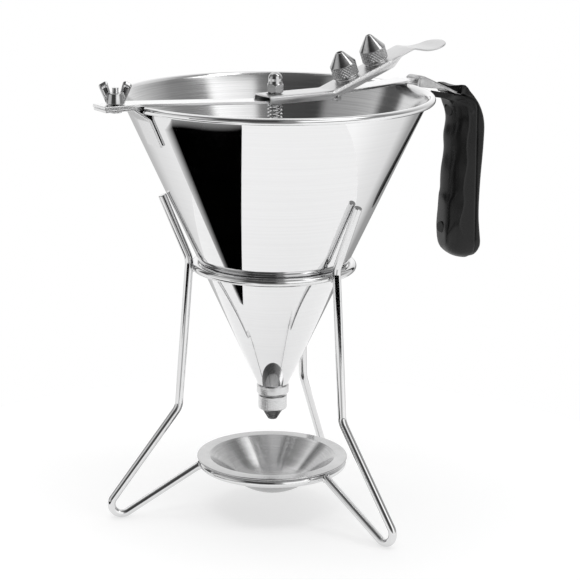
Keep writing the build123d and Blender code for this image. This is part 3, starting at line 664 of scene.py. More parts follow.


# Darker steel for the tip cone: painted shade, standing in for the dark it reflects from below.
tip_painted_shade_steel = brushed_steel("tip_painted_shade_steel", (0.2, 0.32), (0.2, 0.3), (300.0, 300.0, 2000.0), bump=0.1)
nozzle_loop = finely_divided_loop(rounded_loop(nozzle_outline, nozzle_rounds), turned_rows)
nozzle_skin = spun(nozzle_loop, 8 * rib_count, ribbed)
nozzle = new_piece(
    "outlet_nozzle", nozzle_skin, turned_steel, "fitted_nozzle", ["fitted_nozzle"],
    crease=40.0,
)
nozzle.data.materials.append(tip_painted_shade_steel)
# Faces below the top of the tip cone get the painted shade steel.
for face in nozzle.data.polygons:
    face.material_index = int(face.center.z < tip_top * MM)

# Clamp bracket: a strap bent from steel strip and spot welded to the cone under the rim. Its flat outer end
# carries the clamp stud.
strap_sheet = 1.5
strap_width = 15.0
strap_gap = 0.06
strap_flat = 258.4
strap_end = -117.5
strap_bend = -99.8
strap_top = 251.0
strap_foot = 235.0
strap_radii = (2.5, 4.0)
strip_edge = 0.3
strip_end_round = 0.01


def strap_radius(height, sheet):
    """Radius of the middle of a strap that lies on the outside of the cone."""
    return cone_outside(height) + (sheet / 2 + strap_gap) * math.hypot(1.0, cone_slope)


def strip_ring(place, way, width, sheet, edge):
    """Rounded oblong across a strip that runs in the XZ plane."""
    square = Vector((-way.y, way.x))
    up, wide = sheet / 2, width / 2
    ring = []
    for across, along in rounded_loop([(up, wide), (-up, wide), (-up, -wide), (up, -wide)], [edge] * 4):
        spot = place + square * across
        ring.append(Vector((spot.x, along, spot.y)))
    return ring


def strip(path, widths, sheet, edge=strip_edge):
    """A flat strip along a line in the XZ plane, with softened edges and ends."""
    stations = list(zip(path, headings_along(path), widths))
    first, first_way, first_width = stations[0]
    last, last_way, last_width = stations[-1]
    stations[0] = (first + first_way * edge, first_way, first_width)
    stations[-1] = (last - last_way * edge, last_way, last_width)
    thin = sheet - 2 * edge + 2 * strip_end_round
    rings = [strip_ring(first, first_way, first_width - 2 * edge, thin, strip_end_round)]
    rings += [strip_ring(place, way, width, sheet, edge) for place, way, width in stations]
    rings.append(strip_ring(last, last_way, last_width - 2 * edge, thin, strip_end_round))
    return loft(rings)


strip_steel = brushed_steel("strip_steel", (0.74, 0.84), (0.14, 0.22), (70.0, 1500.0, 1500.0), bump=0.12)
strap_corners = [(strap_end, strap_flat), (strap_bend, strap_flat)]
strap_corners += [(-strap_radius(height, strap_sheet), height) for height in (strap_top, strap_foot)]
strap_line = rounded_path(strap_corners, strap_radii)
strap_skin = strip(strap_line, [strap_width] * len(strap_line), strap_sheet)
new_piece("clamp_strap", strap_skin, strip_steel, "funnel", ["clamp_bracket"])

# Clamp stud: a steel stud with a flat head, turned and threaded, pushed up through the strap and the bridge.
# The wing nut screws on it.
stud_x = -107.5
stud_radius = 2.0
stud_thread = (259.2, 270.2)
stud_steps = 48
thread_pitch = 0.7
thread_depth = 0.28
thread_rows = thread_pitch / 8
stud_outline = [
    (0.0, 256.22), (3.6, 256.22), (3.6, 257.62), (stud_radius, 257.62), (stud_radius, 270.6), (0.0, 270.6),
]
stud_rounds = (0.35, 0.2, 0.15, 0.5)


def stud_reach(radius, height, angle):
    """Stud radius with a V thread between its two ends."""
    if radius < stud_radius - 0.01 or not stud_thread[0] < height < stud_thread[1]:
        return radius
    phase = (height / thread_pitch - angle / (2 * math.pi)) % 1.0
    return radius - thread_depth * abs(2 * phase - 1)


def solid_outline(corners, radii):
    """Outline of a solid turned piece, from the axis out and back to it, with an arc at each corner."""
    return [tuple(point) for point in rounded_path(corners, radii)]


def placed(skin, matrix):
    """A skin moved to where it belongs."""
    points, faces = skin
    return [matrix @ Vector(point) for point in points], faces


fastener_steel = brushed_steel("fastener_steel", (0.68, 0.8), (0.12, 0.22), (300.0, 300.0, 300.0), bump=0.05)
stud_loop = finely_divided(solid_outline(stud_outline, stud_rounds), thread_rows)
stud_skin = placed(spun(stud_loop, stud_steps, stud_reach), Matrix.Translation((stud_x, 0.0, 0.0)))
new_piece("strap_stud", stud_skin, fastener_steel, "funnel", ["clamp_stud"])

# Wing nut: cast steel, a tapered hub with two upright wings that lean outwards, tumbled smooth and plated.
# It clamps the bridge down on the strap.
hub_foot = 261.35
hub_outline = [(0.0, 0.0), (5.4, 0.0), (4.4, 6.2), (0.0, 6.2)]
hub_rounds = (0.4, 1.0)
hub_steps = 48
wing_corners = [(1.2, 1.0), (5.3, 0.3), (9.7, 10.6), (4.8, 13.4)]
wing_rounds = (0.3, 0.5, 1.5, 1.5)
wing_sheet = 2.4
wing_bevel = 0.95
wing_hollow = 0.45
wing_turn = math.radians(-24.0)
hollow_edge = 0.14
hollow_floor = 0.3
cast_grain = 0.2
cast_crease = 60.0
nut_bore = stud_radius + 0.06
nut_bore_start = hub_foot - 1.0
nut_bore_end = hub_foot + 9.0
drill_steps = 64


def plate(outline, thick, edge, hollow=0.0):
    """A flat plate in the XZ plane with softened edges, and a hollow in each face where one is asked for."""
    middle = Vector((sum(x for x, z in outline) / len(outline), sum(z for x, z in outline) / len(outline)))
    shrink = 1 - edge / min((Vector(point) - middle).length for point in outline)
    layers = [(thick / 2 - edge, 1.0), (thick / 2, shrink)]
    if hollow:
        layers += [(thick / 2, shrink - hollow_edge), (thick / 2 - hollow, shrink - hollow_floor)]
    rings = []
    for depth, scale in [(-depth, scale) for depth, scale in layers[::-1]] + layers:
        spots = [middle + (Vector(point) - middle) * scale for point in outline]
        rings.append([Vector((spot.x, depth, spot.y)) for spot in spots])
    return loft(rings)


def baked(piece, crease):
    """Turns a piece's modifiers into its mesh."""
    mesh = bpy.data.meshes.new_from_object(piece.evaluated_get(bpy.context.evaluated_depsgraph_get()))
    old = piece.data
    piece.modifiers.clear()
    piece.data = mesh
    mesh.name = old.name
    bpy.data.meshes.remove(old)
    smoothed(mesh, crease)


def cut_away(piece, skin, crease=35.0):
    """Cuts the shape of a skin out of a piece."""
    tool = bpy.data.objects.new("cutting_tool", clean_mesh("cutting_tool", skin))
    bpy.context.collection.objects.link(tool)
    cut = piece.modifiers.new("cut", "BOOLEAN")
    cut.operation = "DIFFERENCE"
    cut.solver = "EXACT"
    cut.object = tool
    baked(piece, crease)
    tool_mesh = tool.data
    bpy.data.objects.remove(tool)
    bpy.data.meshes.remove(tool_mesh)


def drill(radius, start, end):
    """A round cutting tool between two points."""
    way = Vector(end) - Vector(start)
    bit = spun([(0.0, 0.0), (radius, 0.0), (radius, way.length), (0.0, way.length)], drill_steps)
    return placed(bit, Matrix.Translation(start) @ way.to_track_quat("Z", "Y").to_matrix().to_4x4())


one_wing = plate(rounded_loop(wing_corners, wing_rounds), wing_sheet, wing_bevel, wing_hollow)
other_wing = placed(one_wing, Matrix.Rotation(math.pi, 4, "Z"))
hub_skin = spun(solid_outline(hub_outline, hub_rounds), hub_steps)
cast_steel = brushed_steel("cast_steel", (0.5, 0.68), (0.05, 0.1), (240.0, 240.0, 240.0), bump=0.05)
nut_place = Matrix.Translation((stud_x, 0.0, hub_foot)) @ Matrix.Rotation(wing_turn, 4, "Z")
wing_nut = new_piece(
    "clamp_wing_nut", placed(joined([hub_skin, one_wing, other_wing]), nut_place), cast_steel, "wing_nut",
    ["wing_nut"], cast_crease,
)
fused = wing_nut.modifiers.new("fused", "REMESH")
fused.mode = "VOXEL"
fused.voxel_size = cast_grain * MM
tumbled = wing_nut.modifiers.new("tumbled", "SMOOTH")
tumbled.factor = 0.5
tumbled.iterations = 3
baked(wing_nut, cast_crease)
cut_away(wing_nut, drill(nut_bore, (stud_x, 0, nut_bore_start), (stud_x, 0, nut_bore_end)), cast_crease)

# Bridge bar: a flat steel bar across the rim, bent to a shallow V. Its left end is clamped by the wing nut
# and a narrow tongue at the right end goes into the slot of the handle's tang.
bar_sheet = 1.6
bar_line_end = 260.25
bar_line_middle = 254.7
bar_start = -118.0
bar_bend = 95.0
bar_radii = (15.0, 25.0, 15.0)
bar_width = 15.0
tongue_width = 8.0
tongue_start = 95.5
tongue_end = 103.7
shoulder_run = 0.5
shoulder_round = 0.3
shoulder_step = 0.001
rod_hole = 3.06
stud_hole = stud_radius + 0.3
drill_past = 5.0
bar_corners = [
    (bar_start, bar_line_end), (-bar_bend, bar_line_end), (0.0, bar_line_middle), (bar_bend, bar_line_end),
    (tongue_end, bar_line_end),
]
bar_path = [place for place in rounded_path(bar_corners, bar_radii) if place.x < tongue_start - shoulder_run]
bar_widths = [bar_width] * len(bar_path)
tongue_widths = [
    (tongue_start - shoulder_round, bar_width),
    (tongue_start - shoulder_step, bar_width - 2 * shoulder_round),
    (tongue_start, tongue_width),
    (tongue_end, tongue_width),
]
for place_x, width in tongue_widths:
    bar_path.append(Vector((place_x, bar_line_end)))
    bar_widths.append(width)
bar_skin = strip(bar_path, bar_widths, bar_sheet)
bridge = new_piece("bridge_strip", bar_skin, strip_steel, "funnel", ["bridge_bar"])
for hole, hole_x, hole_z in ((rod_hole, 0, bar_line_middle), (stud_hole, stud_x, bar_line_end)):
    cut_away(bridge, drill(hole, (hole_x, 0, hole_z - drill_past), (hole_x, 0, hole_z + drill_past)))


# Fulcrum eye: a small steel lug welded under the bridge and drilled for the lever's pin. The lever hides it,
# so the plain CAD lug is kept.
def kept_as_drawn(node_name, finish):
    """Gives its finish to a CAD node that stays in view."""
    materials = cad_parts[node_name].data.materials
    materials.clear()
    materials.append(finish)


kept_as_drawn("fulcrum_eye", fastener_steel)

# Lever: pressed from 1 mm steel sheet as a channel with its flanges down, bent up past the pin and ended in
# a dished round paddle for the thumb. The rod comes up through a slot at its left end.
lever_sheet = 1.0
lever_half = 9.2
lever_corner = 2.2
plate_corner = 0.48
corner_steps = 6
lever_path_corners = [(-9.0, 258.5), (36.59, 258.5), (95.5, 280.53), (110.0, 277.8), (124.2, 283.1)]
lever_path_radii = (6.0, 6.0, 30.0)
lever_rows = 0.8
flange_depth = 5.0
flange_curl = 0.9
flange_fades = (79.3, 86.3)
paddle_middle = 115.0
paddle_bend = (98.0, 112.0)
paddle_dish = 0.9
paddle_sink = 0.3
paddle_roll = math.tan(math.radians(3.5))
paddle_least = 0.0004
slot_radius = 3.4
slot_ends = (-2.3, 0.2)
slot_cut = (256.5, 260.0)
slot_steps = 20


def lever_section(half, depth, corner):
    """Section of the channel seen along it, from the near flange over the web and back inside."""
    inner = max(corner - lever_sheet, 0.0)
    below = max(corner, lever_sheet)
    drop = max(depth - below, 0.0)
    curl = [(flange_curl * (k / 4) ** 2 * drop / flange_depth, below + drop * k / 4) for k in (4, 3, 2, 1)]
    section = [(-half + inset, -down) for inset, down in curl]
    section += circle_points((-half + corner, -corner), corner, 180, 90, corner_steps)
    section += circle_points((half - corner, -corner), corner, 90, 0, corner_steps)
    section += [(half - inset, -down) for inset, down in curl[::-1]]
    section += [(half - inset - lever_sheet, -down) for inset, down in curl]
    section += circle_points((half - below, -below), inner, 0, 90, corner_steps)
    section += circle_points((-half + below, -below), inner, 90, 180, corner_steps)
    section += [(-half + inset + lever_sheet, -down) for inset, down in curl[::-1]]
    return section


def share_between(value, start, end):
    """How far value has come from start to end, eased, from 0 to 1."""
    t = min(1.0, max(0.0, (value - start) / (end - start)))
    return t * t * (3 - 2 * t)


lever_path = rounded_path(lever_path_corners, lever_path_radii)
lever_line = [Vector(spot) for spot in finely_divided(lever_path, lever_rows)]
lever_rings = []
for place, way in zip(lever_line, headings_along(lever_line)):
    fade = min(1.0, max(0.0, (place.x - flange_fades[0]) / (flange_fades[1] - flange_fades[0])))
    depth = flange_depth + (lever_sheet - flange_depth) * fade
    corner = lever_corner + (plate_corner - lever_corner) * fade
    past = (place.x - paddle_middle) / lever_half
    half = lever_half if past <= 0 else lever_half * math.sqrt(max(1 - past * past, paddle_least))
    square = Vector((-way.y, way.x))
    bent = share_between(place.x, *paddle_bend)
    ring = []
    for across, down in lever_section(max(half, lever_sheet + 0.1), depth, corner):
        crown = bent * (paddle_dish * (across / lever_half) ** 2 - paddle_sink + paddle_roll * across)
        spot = place + square * (lever_sheet / 2 + down + crown)
        ring.append(Vector((spot.x, across, spot.y)))
    lever_rings.append(ring)
lever_steel = brushed_steel("lever_steel", (0.64, 0.74), (0.28, 0.36), (90.0, 1300.0, 600.0), bump=0.06)
lever = new_piece("dosing_lever", loft(lever_rings), lever_steel, "lever", ["lever"])
slot_loop = circle_points((slot_ends[0], 0), slot_radius, 90, 270, slot_steps)
slot_loop += circle_points((slot_ends[1], 0), slot_radius, -90, 90, slot_steps)
cut_away(lever, loft([[(x, y, z) for x, y in slot_loop] for z in slot_cut]))

# Lever pin: a steel pin through both flanges and the eye, peened over to low domes at its ends. The lever
# turns on it.
pin_middle = (39.5, 0.0, 254.2)
pin_half = 9.23
pin_steps = 40
pin_outline = [(0.0, -pin_half - 0.9), (1.5, -pin_half - 0.75), (2.0, -pin_half), (1.2, -pin_half)]
pin_outline += [(radius, -height) for radius, height in pin_outline[::-1]]
lying_along_y = Matrix.Rotation(math.pi / 2, 4, "X")
pin_skin = placed(spun(pin_outline, pin_steps), Matrix.Translation(pin_middle) @ lying_along_y)
new_piece("lever_cross_pin", pin_skin, fastener_steel, "lever", ["lever_pin"])

# Parking studs and collars: two short threaded studs riveted through the lever's web, each with a flat
# turned collar at its foot. The spare nozzles hide the studs, so the CAD studs are kept.
slope = math.radians(20.5)
slope_foot = (36.5, 259.0)
seat_stations = {"small": 73.4, "medium": 51.8}
collar_corners = [(3.03, 0.03), (7.2, 0.03), (7.2, 1.43), (3.03, 1.43)]
collar_corner_rounds = (0.05, 0.25, 0.4, 0.05)
stud_collar_steps = 72
seats = {}
for nozzle_name, station in seat_stations.items():
    seat_height = slope_foot[1] + (station - slope_foot[0]) * math.tan(slope)
    seats[nozzle_name] = Matrix.Translation((station, 0.0, seat_height)) @ Matrix.Rotation(-slope, 4, "Y")
one_collar = spun(rounded_loop(collar_corners, collar_corner_rounds), stud_collar_steps)
collars = joined([placed(one_collar, seat) for seat in seats.values()])
new_piece("parking_collars", collars, turned_steel, "lever", ["stud_collars"])
kept_as_drawn("nozzle_studs", fastener_steel)

# Spare nozzles: turned steel with a diamond knurl on the barrel and a smooth cone, screwed on the parking
# studs with their tips up.
spare_foot = 1.73
spare_shoulder = 9.33
spare_radius = 8.0
spare_bore = 6.56
spare_tips = {"small": (1.7, 8.6), "medium": (2.4, 7.5)}
spare_tip_wall = 0.7
spare_rounds = (0.1, 0.4, 0.35, 0.3, 0.15, 0.1, 0.1, 0.1)
knurl_teeth = 24
knurl_depth = 0.65
knurl_lean = 1.5
knurl_start = (spare_foot + 0.4, spare_foot + 1.0)
knurl_end = (spare_shoulder - 0.9, spare_shoulder - 0.3)
knurl_face = spare_radius - 0.2
knurl_rows = 0.22


def knurled(radius, height, angle):
    """Barrel radius with two crossed sets of slanting grooves."""
    if radius < knurl_face:
        return radius
    fade = share_between(height, *knurl_start) * (1 - share_between(height, *knurl_end))
    lean = knurl_lean * height
    rising = abs(math.sin(knurl_teeth / 2 * angle + lean))
    falling = abs(math.sin(knurl_teeth / 2 * angle - lean))
    return radius - knurl_depth * fade * (1 - rising * (0.5 + 0.5 * falling))


nozzle_steel = brushed_steel("nozzle_steel", (0.4, 0.6), (0.12, 0.18), (500.0, 500.0, 700.0), bump=0.1)
for nozzle_name, (tip_radius, tip_height) in spare_tips.items():
    tip = spare_shoulder + tip_height
    tip_bore = tip_radius - spare_tip_wall
    spare_outline = [
        (spare_bore, spare_foot), (spare_radius, spare_foot), (spare_radius, spare_shoulder),
        (tip_radius, tip), (tip_bore, tip), (tip_bore, tip - 2.0), (5.0, spare_shoulder),
        (spare_bore, spare_shoulder - 1.2),
    ]
    spare_loop = finely_divided_loop(rounded_loop(spare_outline, spare_rounds), knurl_rows)
    spare_skin = placed(spun(spare_loop, 8 * knurl_teeth, knurled), seats[nozzle_name])
    spare_node = f"spare_nozzle_{nozzle_name}"
    new_piece(
        f"knurled_nozzle_{nozzle_name}", spare_skin, nozzle_steel, spare_node, [spare_node],
        crease=50.0,
    )

# Plunger rod and stopper: a ground steel rod from the cap nut down through the bridge, with a turned conical
# plug on its lower end that closes the outlet.
rod_radius = 3.0
rod_foot = 76.5
rod_top = 267.3
rod_rounds = (0.4, 0.4)
rod_steps = 64
stopper_foot = 73.7
stopper_widest = 77.6
stopper_shoulder = 80.0
stopper_top = 82.8
stopper_seat = 76.47
stopper_bore = 3.03
stopper_gap = 0.38
stopper_foot_radius = cone_inside(stopper_foot) - stopper_gap
stopper_radius = cone_inside(stopper_widest) - stopper_gap
stopper_rounds = (0.3, 0.3, 0.6, 0.3, 0.05, 0.05)
stopper_steps = 72
rod_outline = [(0.0, rod_foot), (rod_radius, rod_foot), (rod_radius, rod_top), (0.0, rod_top)]
rod_skin = spun(solid_outline(rod_outline, rod_rounds), rod_steps)
new_piece("lift_rod", rod_skin, fastener_steel, "plunger", ["plunger_rod"])
stopper_outline = [
    (0.0, stopper_foot), (stopper_foot_radius, stopper_foot), (stopper_radius, stopper_widest),
    (stopper_radius, stopper_shoulder), (3.9, stopper_top), (stopper_bore, stopper_top),
    (stopper_bore, stopper_seat), (0.0, stopper_seat),
]
stopper_skin = spun(solid_outline(stopper_outline, stopper_rounds), stopper_steps)
new_piece("outlet_plug", stopper_skin, turned_steel, "plunger", ["rod_stopper"])

# Cap nut: an acorn nut of polished steel, a chamfered hexagon under a high dome, screwed on the rod's top.
# The lever lifts the rod by it.
nut_foot = 259.3
nut_steps = 144
nut_rows = 0.3
hexagon_flat = 4.7
dome_radius = 4.25
dome_foot = nut_foot + 8.45
dome_steps = 18
nut_hole = 3.03
nut_hole_top = nut_foot + 8.03
nut_loop = [
    (nut_hole, nut_foot), (4.0, nut_foot), (5.42, nut_foot + 1.3), (5.42, nut_foot + 4.6),
    (4.75, nut_foot + 5.5), (4.5, nut_foot + 5.8), (4.3, nut_foot + 7.2),
]
nut_loop += circle_points((0.0, dome_foot), dome_radius, 0, 90, dome_steps)[:-1]
nut_loop += [(0.0, dome_foot + dome_radius), (0.0, nut_hole_top), (nut_hole, nut_hole_top)]


def hexagonal(radius, height, angle):
    """Radius kept inside the nut's six flats."""
    turn = angle % (math.pi / 3) - math.pi / 6
    return min(radius, hexagon_flat / math.cos(turn))


acorn_skin = spun(finely_divided_loop(nut_loop, nut_rows), nut_steps, hexagonal)
polished_steel = brushed_steel("polished_steel", (0.5, 0.6), (0.03, 0.05), (200.0, 200.0, 500.0))
new_piece("acorn_nut", acorn_skin, polished_steel, "plunger", ["cap_nut"], crease=25.0)

# Spring washer and cross pin: a flat steel washer on the rod, and the pin driven through the rod under it.
# Together they carry the spring's lower end.
washer_corners = [(3.03, 209.45), (5.2, 209.45), (5.2, 210.45), (3.03, 210.45)]
washer_rounds = (0.1, 0.2, 0.2, 0.1)
washer_steps = 64
cross_pin_height = 208.62
cross_pin_steps = 32
cross_pin_outline = [(0.0, -4.6), (0.55, -4.6), (0.8, -4.35), (0.8, 4.35), (0.55, 4.6), (0.0, 4.6)]
washer_skin = spun(rounded_loop(washer_corners, washer_rounds), washer_steps)
new_piece("rod_washer", washer_skin, fastener_steel, "plunger", ["spring_washer"])
cross_pin_place = Matrix.Translation((0.0, 0.0, cross_pin_height)) @ lying_along_y
cross_pin_skin = placed(spun(cross_pin_outline, cross_pin_steps), cross_pin_place)
new_piece("washer_cross_pin", cross_pin_skin, fastener_steel, "plunger", ["spring_pin"])

# Return spring: hard drawn wire coiled round the rod in even turns. It is squeezed between the washer and
# the bridge when the lever lifts the rod.
coil_wire = 0.6
coil_radius = 4.0
coil_turns = 20
coil_low = 211.15
coil_high = 253.15
coil_steps = 40
coil_sides = 14
coil_line = []
for k in range(coil_turns * coil_steps + 1):
    turn = 2 * math.pi * k / coil_steps
    height = coil_low + (coil_high - coil_low) * k / (coil_turns * coil_steps)
    coil_line.append(Vector((coil_radius * math.cos(turn), coil_radius * math.sin(turn), height)))
wire_section = circle_points((0.0, 0.0), coil_wire, 0, 360, coil_sides)[:-1]
coil_rings = []
for place, way in zip(coil_line, headings_along(coil_line)):
    out = Vector((place.x, place.y, 0.0)).normalized()
    square = way.cross(out)
    coil_rings.append([place + out * outwards + square * along for outwards, along in wire_section])
spring_steel = brushed_steel("spring_steel", (0.55, 0.72), (0.05, 0.1), (400.0, 400.0, 400.0))
coil = new_piece("return_coil", loft(coil_rings), spring_steel, None, ["return_spring"])
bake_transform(coil)

# Handle tang: a steel strip welded to the cone, bent out under the rim, up past the bridge's tongue and over
# into the handle, with a cheek welded down each side of the slope. The tongue sits in a slot in its upright
# part.
tang_sheet = 2.0
tang_width = 13.0
tang_edge = 0.45
tang_foot = 238.5
tang_bend = 250.8
tang_upright = 101.6
tang_radii = (4.0, 3.0, 3.2, 20.0, 9.0)
tongue_slot = [(-4.3, 259.15), (4.3, 259.15), (4.3, 261.35), (-4.3, 261.35)]
tongue_slot_cut = (98.0, 104.0)
cheek_sheet = 1.2
cheek_edge = 0.2
cheek_outline = [
    (103.0, 260.4), (106.0, 261.2), (110.4, 259.6), (116.2, 257.1), (122.0, 254.5), (121.8, 253.6),
    (111.9, 254.8), (103.0, 256.1),
]
tang_corners = [(strap_radius(height, tang_sheet), height) for height in (tang_foot, tang_bend)]
tang_corners += [(tang_upright, 252.2), (tang_upright, 263.4)]
tang_corners += [(131.0, 250.58), (147.5, 247.2), (149.2, 156.0)]
tang_line = rounded_path(tang_corners, tang_radii)
tang_skin = strip(tang_line, [tang_width] * len(tang_line), tang_sheet, tang_edge)
tang_steel = brushed_steel("tang_steel", (0.5, 0.7), (0.26, 0.4), (500.0, 160.0, 500.0), bump=0.2)
tang = new_piece("tang_strip", tang_skin, tang_steel, "funnel", ["handle_tang"])
cut_away(tang, loft([[(x, y, z) for y, z in tongue_slot] for x in tongue_slot_cut]))
one_cheek = plate(cheek_outline, cheek_sheet, cheek_edge)
cheek_offset = (tang_width - cheek_sheet) / 2
cheeks = [placed(one_cheek, Matrix.Translation((0.0, side * cheek_offset, 0.0))) for side in (1, -1)]
new_piece("tang_cheeks", joined(cheeks), tang_steel, "funnel")

# Grip: two halves moulded in black plastic and screwed together over the tang, with four finger hollows on
# the inner side that end in a wavy ridge on the flank, a seam down the back, a prong beside the tang and a
# dished thumb rest.
finger_line = [
    (110.0, 250.3), (112.0, 249.6), (118.0, 248.4), (123.0, 247.0), (127.4, 244.3), (130.6, 238.8),
    (131.8, 231.0), (130.6, 222.0), (131.0, 212.0), (129.4, 200.0), (129.2, 187.0), (127.6, 180.0),
    (126.8, 168.0), (125.8, 160.0), (127.2, 153.6), (131.2, 148.3), (137.4, 144.3), (144.0, 142.4),
    (148.15, 142.4),
]
palm_line = [
    (128.0, 256.0), (131.0, 255.9), (134.5, 255.1), (143.0, 250.7), (150.5, 242.8), (154.8, 232.0),
    (155.1, 218.0), (153.5, 192.0), (153.2, 170.0), (155.0, 152.5), (154.4, 147.6), (151.8, 143.6),
    (148.15, 142.4),
]
seam_corners = [(110.0, 253.8), (146.5, 246.2), (148.15, 142.4)]
seam_round = 8.0
seam_depth = 0.045
seam_width = 0.5
brow_knots = [(116.5, 249.0), (123.8, 246.6), (131.0, 245.6), (137.4, 243.4), (142.4, 237.9)]
brow_steps = 40
brow_height = 0.035
brow_width = 0.8
palm_seam_start = 128.0
grip_half = 10.05
grip_rows = 170
grip_columns = 34
grip_crease = 50.0
knot_steps = 24
edge_fullness = 2.2
prong_middle = 8.45
prong_half = 1.65
prong_root = (124.0, 131.0)
thumb_dish = 1.7
thumb_half = 8.5
thumb_run = 14.0
thumb_heights = (251.0, 255.0)
lip_slant = 2.4
lip_low = 240.0
lip_out_of_reach = 50.0
end_round = 0.8
end_reach = 134.0
flank_start = 122.0
flank_run = 11.0
flank_crease = 0.16
flank_fill = 0.965
nose_round = 0.9
finger_round_more = 10.6
lip_round = 0.7
palm_round_more = 3.8
palm_round_start = 137.0
palm_round_run = 9.0
wave_length = 25.6
wave_start = 1.28
wave_size = 1.3
wave_foot = (150.0, 15.0)
wave_head = (236.0, 10.0)
ridge_height = 0.03
ridge_width = 0.9
ridge_onset = 1.5


def even_points(line, count):
    """The same line as count points at even distances."""
    run = np.concatenate([[0], np.cumsum(np.linalg.norm(np.diff(line, axis=0), axis=1))])
    stations = np.linspace(0, run[-1], count)
    return np.column_stack([np.interp(stations, run, line[:, 0]), np.interp(stations, run, line[:, 1])])


def smooth_line(knots, count):
    """Evenly spaced points on a smooth line through the knots."""
    knots = [np.array(knot, float) for knot in knots]
    padded = [2 * knots[0] - knots[1]] + knots + [2 * knots[-1] - knots[-2]]
    fine = []
    for a, b, c, d in zip(padded, padded[1:], padded[2:], padded[3:]):
        for t in np.linspace(0, 1, knot_steps, endpoint=False):
            bend = (2 * a - 5 * b + 4 * c - d) * t**2 + (3 * b - a - 3 * c + d) * t**3
            fine.append(0.5 * (2 * b + (c - a) * t + bend))
    return even_points(np.array(fine + [knots[-1]]), count)


def distance_to(line, spots):
    """Distance from each spot to the nearest point of a line."""
    starts, ends = line[:-1], line[1:]
    ways = ends - starts
    lengths = np.maximum((ways**2).sum(1), 1e-12)
    best = np.full(len(spots), 1e9)
    for start, way, length in zip(starts, ways, lengths):
        t = np.clip(((spots - start) @ way) / length, 0, 1)
        best = np.minimum(best, np.linalg.norm(spots - start - t[:, None] * way, axis=1))
    return best


def climb(values, start, run):
    """How far each value has come from start over a run, from 0 to 1."""
    return np.clip((values - start) / run, 0, 1)


def edge_rise(share):
    """Height of a full rounded edge, 1 where share is 0 and 0 at the edge itself."""
    return (1 - share**edge_fullness) ** (1 / edge_fullness)


def soft_ridge(away, width):
    """Height of a soft ridge at a distance from its crest."""
    return np.exp(-((away / width) ** 2))


seam_fine = np.array([tuple(point) for point in rounded_path(seam_corners, (seam_round,))])
finger_edge = smooth_line(finger_line, grip_rows)
palm_edge = smooth_line(palm_line, grip_rows)
seam_for_finger = even_points(seam_fine, grip_rows)
seam_cut = seam_fine[seam_fine[:, 0] > palm_seam_start]
seam_first = np.array([[palm_seam_start, np.interp(palm_seam_start, seam_fine[:4, 0], seam_fine[:4, 1])]])
seam_for_palm = even_points(np.vstack([seam_first, seam_cut]), grip_rows)
brow_line = smooth_line(brow_knots, brow_steps)
nose = np.array([finger_edge[0], seam_for_finger[0]])
lip = np.array([palm_edge[0], seam_for_palm[0]])


def grip_thickness(spots, from_finger, from_palm):
    """Share of the grip's half thickness: a rounded outline, the flank's ridges and the seam's groove."""
    x, z = spots[:, 0], spots[:, 1]
    flank = climb(x, flank_start, flank_run)
    hold = flank * climb(z, *wave_foot) * (1 - climb(z, *wave_head))
    wave = np.sin(2 * math.pi * z / wave_length + wave_start)
    finger_round = nose_round + finger_round_more * flank + wave_size * hold * wave
    palm_round = lip_round + palm_round_more * climb(x, palm_round_start, palm_round_run)
    finger_share = np.clip(1 - from_finger / finger_round, 0, 1)
    palm_share = np.clip(1 - from_palm / palm_round, 0, 1)
    rise = edge_rise(finger_share) * edge_rise(palm_share)
    rise *= 1 - flank_crease * flank * finger_share * (1 - finger_share)
    from_lip = distance_to(lip, spots) + lip_out_of_reach * (z < lip_low)
    from_ends = np.minimum(distance_to(nose, spots), from_lip)
    end_share = np.clip(1 - from_ends / end_round, 0, 1)
    rise *= np.where(x < end_reach, np.sqrt(np.maximum(1 - end_share**2, 0)), 1)
    ridge = ridge_height * hold * soft_ridge(from_finger - finger_round, ridge_width)
    ridge = np.maximum(ridge, brow_height * soft_ridge(distance_to(brow_line, spots), brow_width))
    groove = seam_depth * soft_ridge(distance_to(seam_fine, spots), seam_width) * flank
    return rise * flank_fill + (ridge - groove) * np.minimum(rise * ridge_onset, 1)


def grip_skin(outer, inner, pronged):
    """Skin of one half between its outer edge and the seam, with a prong or a thumb rest at its front."""
    shares = 1 - np.cos(np.linspace(0, math.pi / 2, grip_columns))
    shares = np.concatenate([shares[:-1], [1.0]])
    spots = np.array([outer + (inner - outer) * share for share in shares]).reshape(-1, 2)
    from_outer = np.outer(shares, np.linalg.norm(inner - outer, axis=1)).reshape(-1)
    if pronged:
        rise = grip_thickness(spots, from_outer, distance_to(palm_edge, spots))
    else:
        rise = grip_thickness(spots, distance_to(finger_edge, spots), from_outer)
    count = len(outer)
    flanks = []
    for side in (-1, 1):
        for (x, z), share in zip(spots, rise):
            if pronged:
                slim = 1 - share_between(x, *prong_root)
                y = -prong_middle * slim + side * share * (grip_half + (prong_half - grip_half) * slim)
            else:
                front = 1 - share_between(x, palm_seam_start, palm_seam_start + thumb_run)
                y = side * share * grip_half
                x += front * lip_slant * (1 - y / grip_half)
                dish = thumb_dish * max(0.0, 1 - (y / thumb_half) ** 2)
                z -= front * dish * share_between(z, *thumb_heights)
            flanks.append((x, y, z))
    faces = []
    for start in (0, len(spots)):
        for column in range(grip_columns - 1):
            for row in range(count - 1):
                here = start + column * count + row
                faces.append((here, here + 1, here + count + 1, here + count))
    last = (grip_columns - 1) * count
    for row in range(count - 1):
        here = last + row
        there = len(spots) + last + row
        faces.append((here, here + 1, there + 1, there))
    for column in range(grip_columns - 1):
        for row in (0, count - 1):
            here = column * count + row
            there = len(spots) + here
            faces.append((here, here + count, there + count, there))
    return flanks, faces


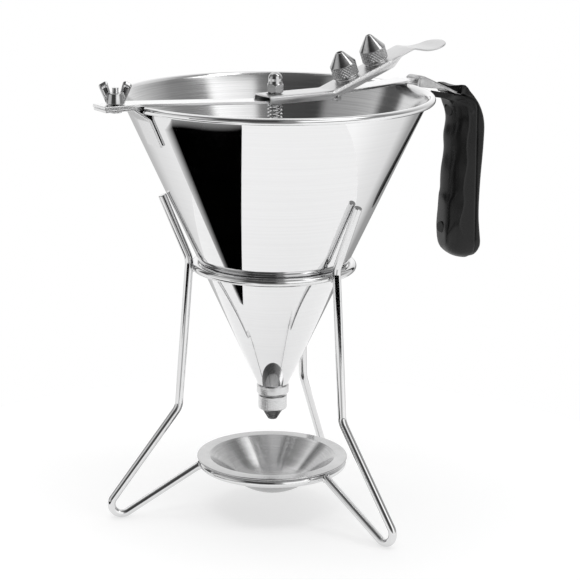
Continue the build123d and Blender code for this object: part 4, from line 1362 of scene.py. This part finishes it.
def moulded_plastic(name, greys, roughness, grain):
    """Black moulded plastic with a fine spark-eroded grain."""
    finish = bpy.data.materials.new(name)
    finish.use_nodes = True
    tree = finish.node_tree
    shader = tree.nodes["Principled BSDF"]
    shader.inputs["Specular IOR Level"].default_value = 0.26
    place = linked_node(tree, "ShaderNodeTexCoord").outputs["Object"]
    fine = mottling(tree, place, grain, 3.0)
    rubbed = mottling(tree, place, 60.0, 4.0)
    tint = linked_node(tree, "ShaderNodeValToRGB", rubbed)
    for element, position, grey in zip(tint.color_ramp.elements, (0.35, 0.7), greys):
        element.position = position
        element.color = (grey, grey, grey, 1.0)
    tree.links.new(tint.outputs["Color"], shader.inputs["Base Color"])
    gloss = linked_node(tree, "ShaderNodeMapRange", rubbed, 0.3, 0.7, *roughness).outputs[0]
    tree.links.new(gloss, shader.inputs["Roughness"])
    tree.links.new(relief_of(tree, fine, 0.25, 0.03), shader.inputs["Normal"])
    return finish


black_plastic = moulded_plastic("black_plastic", (0.003, 0.006), (0.22, 0.32), 2600.0)
finger_half = new_piece(
    "grip_inner_shell", grip_skin(finger_edge, seam_for_finger, True), black_plastic, "funnel",
    ["grip_finger_half"], grip_crease,
)
new_piece(
    "grip_outer_shell", grip_skin(palm_edge, seam_for_palm, False), black_plastic, "funnel",
    ["grip_palm_half"], grip_crease,
)

# Grip screws and plugs: two steel screws put in from the inner side, each hidden under a round plastic plug
# that is pressed in over its head. The CAD screws are kept.
plug_radius = 3.6
plug_thick = 1.7
plug_crown = 0.15
plug_rounds = (0.35, 0.1)
plug_steps = 56
pocket_radius = plug_radius + 0.12
pocket_mouth = 6.0
plug_spots = {164.0: 126.4, 238.8: 130.4}
plug_outline = [(0.0, 0.0), (plug_radius, plug_crown), (plug_radius, plug_thick), (0.0, plug_thick)]
one_plug = spun(solid_outline(plug_outline, plug_rounds), plug_steps)
facing_inwards = Matrix.Rotation(math.pi / 2, 4, "Y")
plugs = []
for plug_height, plug_face in plug_spots.items():
    pocket_start = (plug_face - pocket_mouth, 0, plug_height)
    pocket_end = (plug_face + plug_thick, 0, plug_height)
    cut_away(finger_half, drill(pocket_radius, pocket_start, pocket_end), grip_crease)
    plugs.append(placed(one_plug, Matrix.Translation((plug_face, 0.0, plug_height)) @ facing_inwards))
new_piece("grip_caps", joined(plugs), black_plastic, "funnel", ["grip_plugs"])
kept_as_drawn("grip_screws", fastener_steel)
